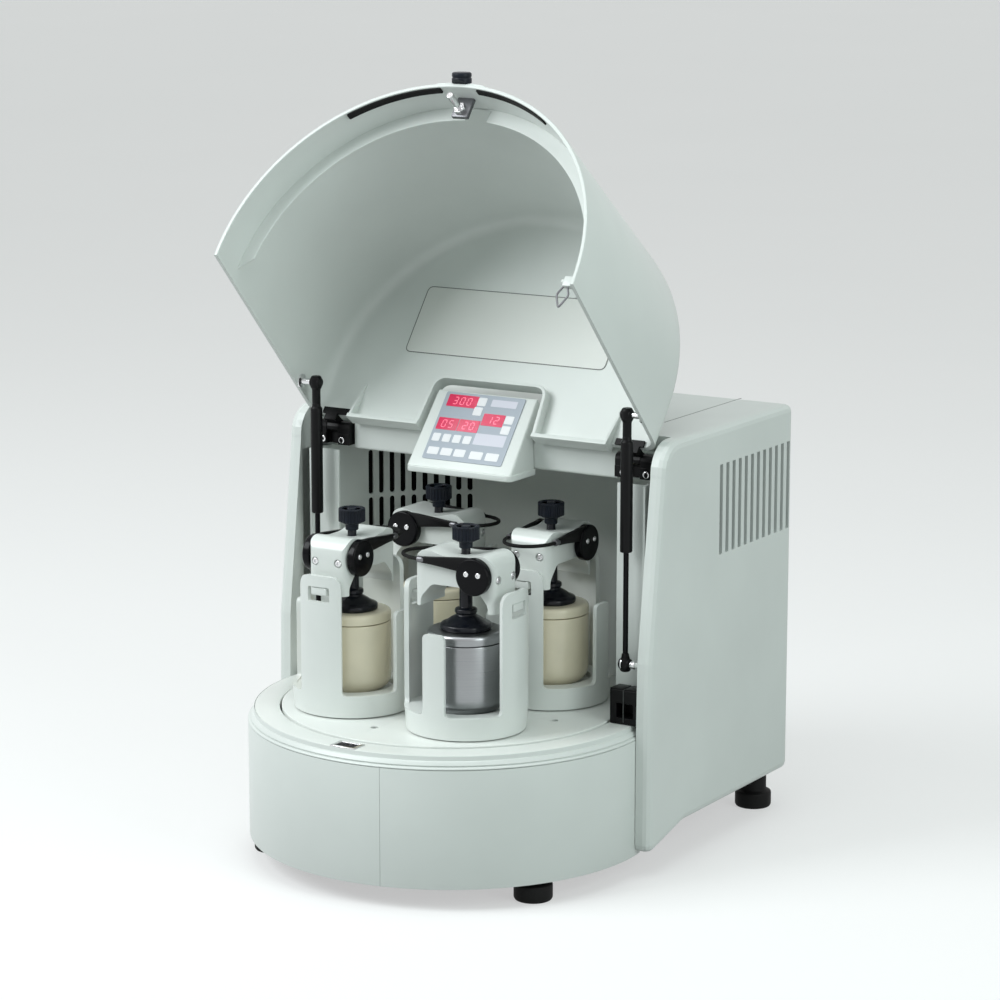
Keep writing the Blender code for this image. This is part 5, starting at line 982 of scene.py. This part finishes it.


# Feet, painted shadow in the seam in the top, and the inlet's pins

for name, x, y in (("front_left", -0.201, -0.128), ("front_right", 0.201, -0.128),
                   ("rear_left", -0.250, 0.384), ("rear_right", 0.250, 0.384)):
    foot = lathe(eased(((0.0, 0.0637), (0.0050, 0.0637), (0.0050, 0.0557), (0.0180, 0.0557),
                        (0.0180, 0.0240), (0.0245, 0.0215), (0.0250, 0.0190), (0.0250, 0.0030),
                        (0.0232, 0.0), (0.0, 0.0)),
                       (0, 0, 0, 0.001, 0.003, 0.002, 0.001, 0.001, 0.001, 0), 3), 56)
    piece("rubber_foot_" + name, shifted(foot, x, y, 0.0), RUBBER, "mill",
          stands_for=["foot_" + name], slot="black_rubber")
# a thin dark strip on the top: painted shadow in the seam
piece("top_seam", block((0.2093, 0.190, 0.5648), (0.2107, 0.4088, 0.56505)), SEAM_SHADOW, "mill")
INLET_X, INLET_Z = -0.2117, 0.1185
for index, (x, z) in enumerate(((-0.0045, 0.0), (0.0045, 0.0), (0.0, 0.004))):
    pin = block((INLET_X + x - 0.0010, 0.388, INLET_Z + z - 0.0022),
                (INLET_X + x + 0.0010, 0.398, INLET_Z + z + 0.0022), 0.0004)
    piece("inlet_pin_%d" % index, pin, BRIGHT, "mill")


# Floor, light and camera

floor_form = bmesh.new()
bmesh.ops.create_circle(floor_form, cap_ends=True, segments=96, radius=40.0)
floor_mesh = bpy.data.meshes.new("floor")
floor_form.to_mesh(floor_mesh)
floor_form.free()
floor = bpy.data.objects.new("floor", floor_mesh)
bpy.context.scene.collection.objects.link(floor)
floor_paint = finish("pale_floor", (0.50, 0.50, 0.50), 0.8, grain=40.0, depth=0.0001, tone=0.005,
                     patches=1.0, specular=0.1, light=0.96)
floor_mesh.materials.append(floor_paint)


def lamp(name, place, target, size, power, colour):
    light = bpy.data.lights.new(name, "AREA")
    light.shape = "RECTANGLE"
    light.size, light.size_y = size
    light.energy = power
    light.color = colour
    thing = bpy.data.objects.new(name, light)
    thing.location = place
    thing.rotation_mode = "QUATERNION"
    thing.rotation_quaternion = (Vector(target) - Vector(place)).to_track_quat("-Z", "Y")
    bpy.context.scene.collection.objects.link(thing)


MIDDLE = (0.0, -0.05, 0.45)
lamp("key_left", (-2.2, -2.4, 2.9), MIDDLE, (2.2, 2.2), 120.0, (0.94, 0.985, 1.0))
lamp("top", (0.3, -0.6, 3.6), MIDDLE, (2.6, 2.6), 32.0, (0.94, 0.99, 1.0))
lamp("fill_right", (3.2, -0.8, 1.6), MIDDLE, (1.6, 2.4), 40.0, (0.89, 0.99, 0.97))
world = bpy.data.worlds.new("pale_room")
bpy.context.scene.world = world
world.use_nodes = True
tree = world.node_tree
room = tree.nodes["Background"]
room.inputs["Color"].default_value = (0.85, 1.0, 0.96, 1.0)
room.inputs["Strength"].default_value = 0.30
seen_room = tree.nodes.new("ShaderNodeBackground")
seen_room.inputs["Color"].default_value = (0.94, 0.94, 0.94, 1.0)


def seen_rays(nodes, links):
    """One for a ray from the camera, a mirror or a window, else nought."""
    path = nodes.new("ShaderNodeLightPath")
    either = path.outputs["Is Camera Ray"]
    for kind in ("Is Glossy Ray", "Is Transmission Ray"):
        most = nodes.new("ShaderNodeMath")
        most.operation = "MAXIMUM"
        links.new(either, most.inputs[0])
        links.new(path.outputs[kind], most.inputs[1])
        either = most.outputs["Value"]
    return either


def by_ray(tree, bounced, seen, output):
    choice = tree.nodes.new("ShaderNodeMixShader")
    tree.links.new(seen_rays(tree.nodes, tree.links), choice.inputs["Fac"])
    tree.links.new(bounced, choice.inputs[1])
    tree.links.new(seen, choice.inputs[2])
    tree.links.new(choice.outputs["Shader"], tree.nodes[output].inputs["Surface"])


by_ray(tree, room.outputs["Background"], seen_room.outputs["Background"], "World Output")
floor_tree = floor_paint.node_tree
dim = floor_tree.nodes.new("ShaderNodeBsdfDiffuse")
dim.inputs["Color"].default_value = (0.45, 0.45, 0.45, 1.0)
by_ray(floor_tree, dim.outputs["BSDF"], floor_tree.nodes["Principled BSDF"].outputs["BSDF"],
       "Material Output")

AZIMUTH = math.radians(31.447)
PITCH = math.radians(11.515)
AIM = Vector((0.0534, 0.0327, 0.4717))
DISTANCE = 4.3432
BACK = Vector((math.sin(AZIMUTH) * math.cos(PITCH), -math.cos(AZIMUTH) * math.cos(PITCH),
               math.sin(PITCH)))
camera_data = bpy.data.cameras.new("camera")
camera_data.lens = 120.05
camera_data.sensor_width = 36.0
camera_data.clip_end = 200.0
camera = bpy.data.objects.new("camera", camera_data)
camera.location = MILL @ AIM + BACK * DISTANCE
camera.rotation_mode = "QUATERNION"
camera.rotation_quaternion = (-BACK).to_track_quat("-Z", "Y")
bpy.context.scene.collection.objects.link(camera)
bpy.context.scene.camera = camera
bpy.context.scene.view_settings.view_transform = "Standard"
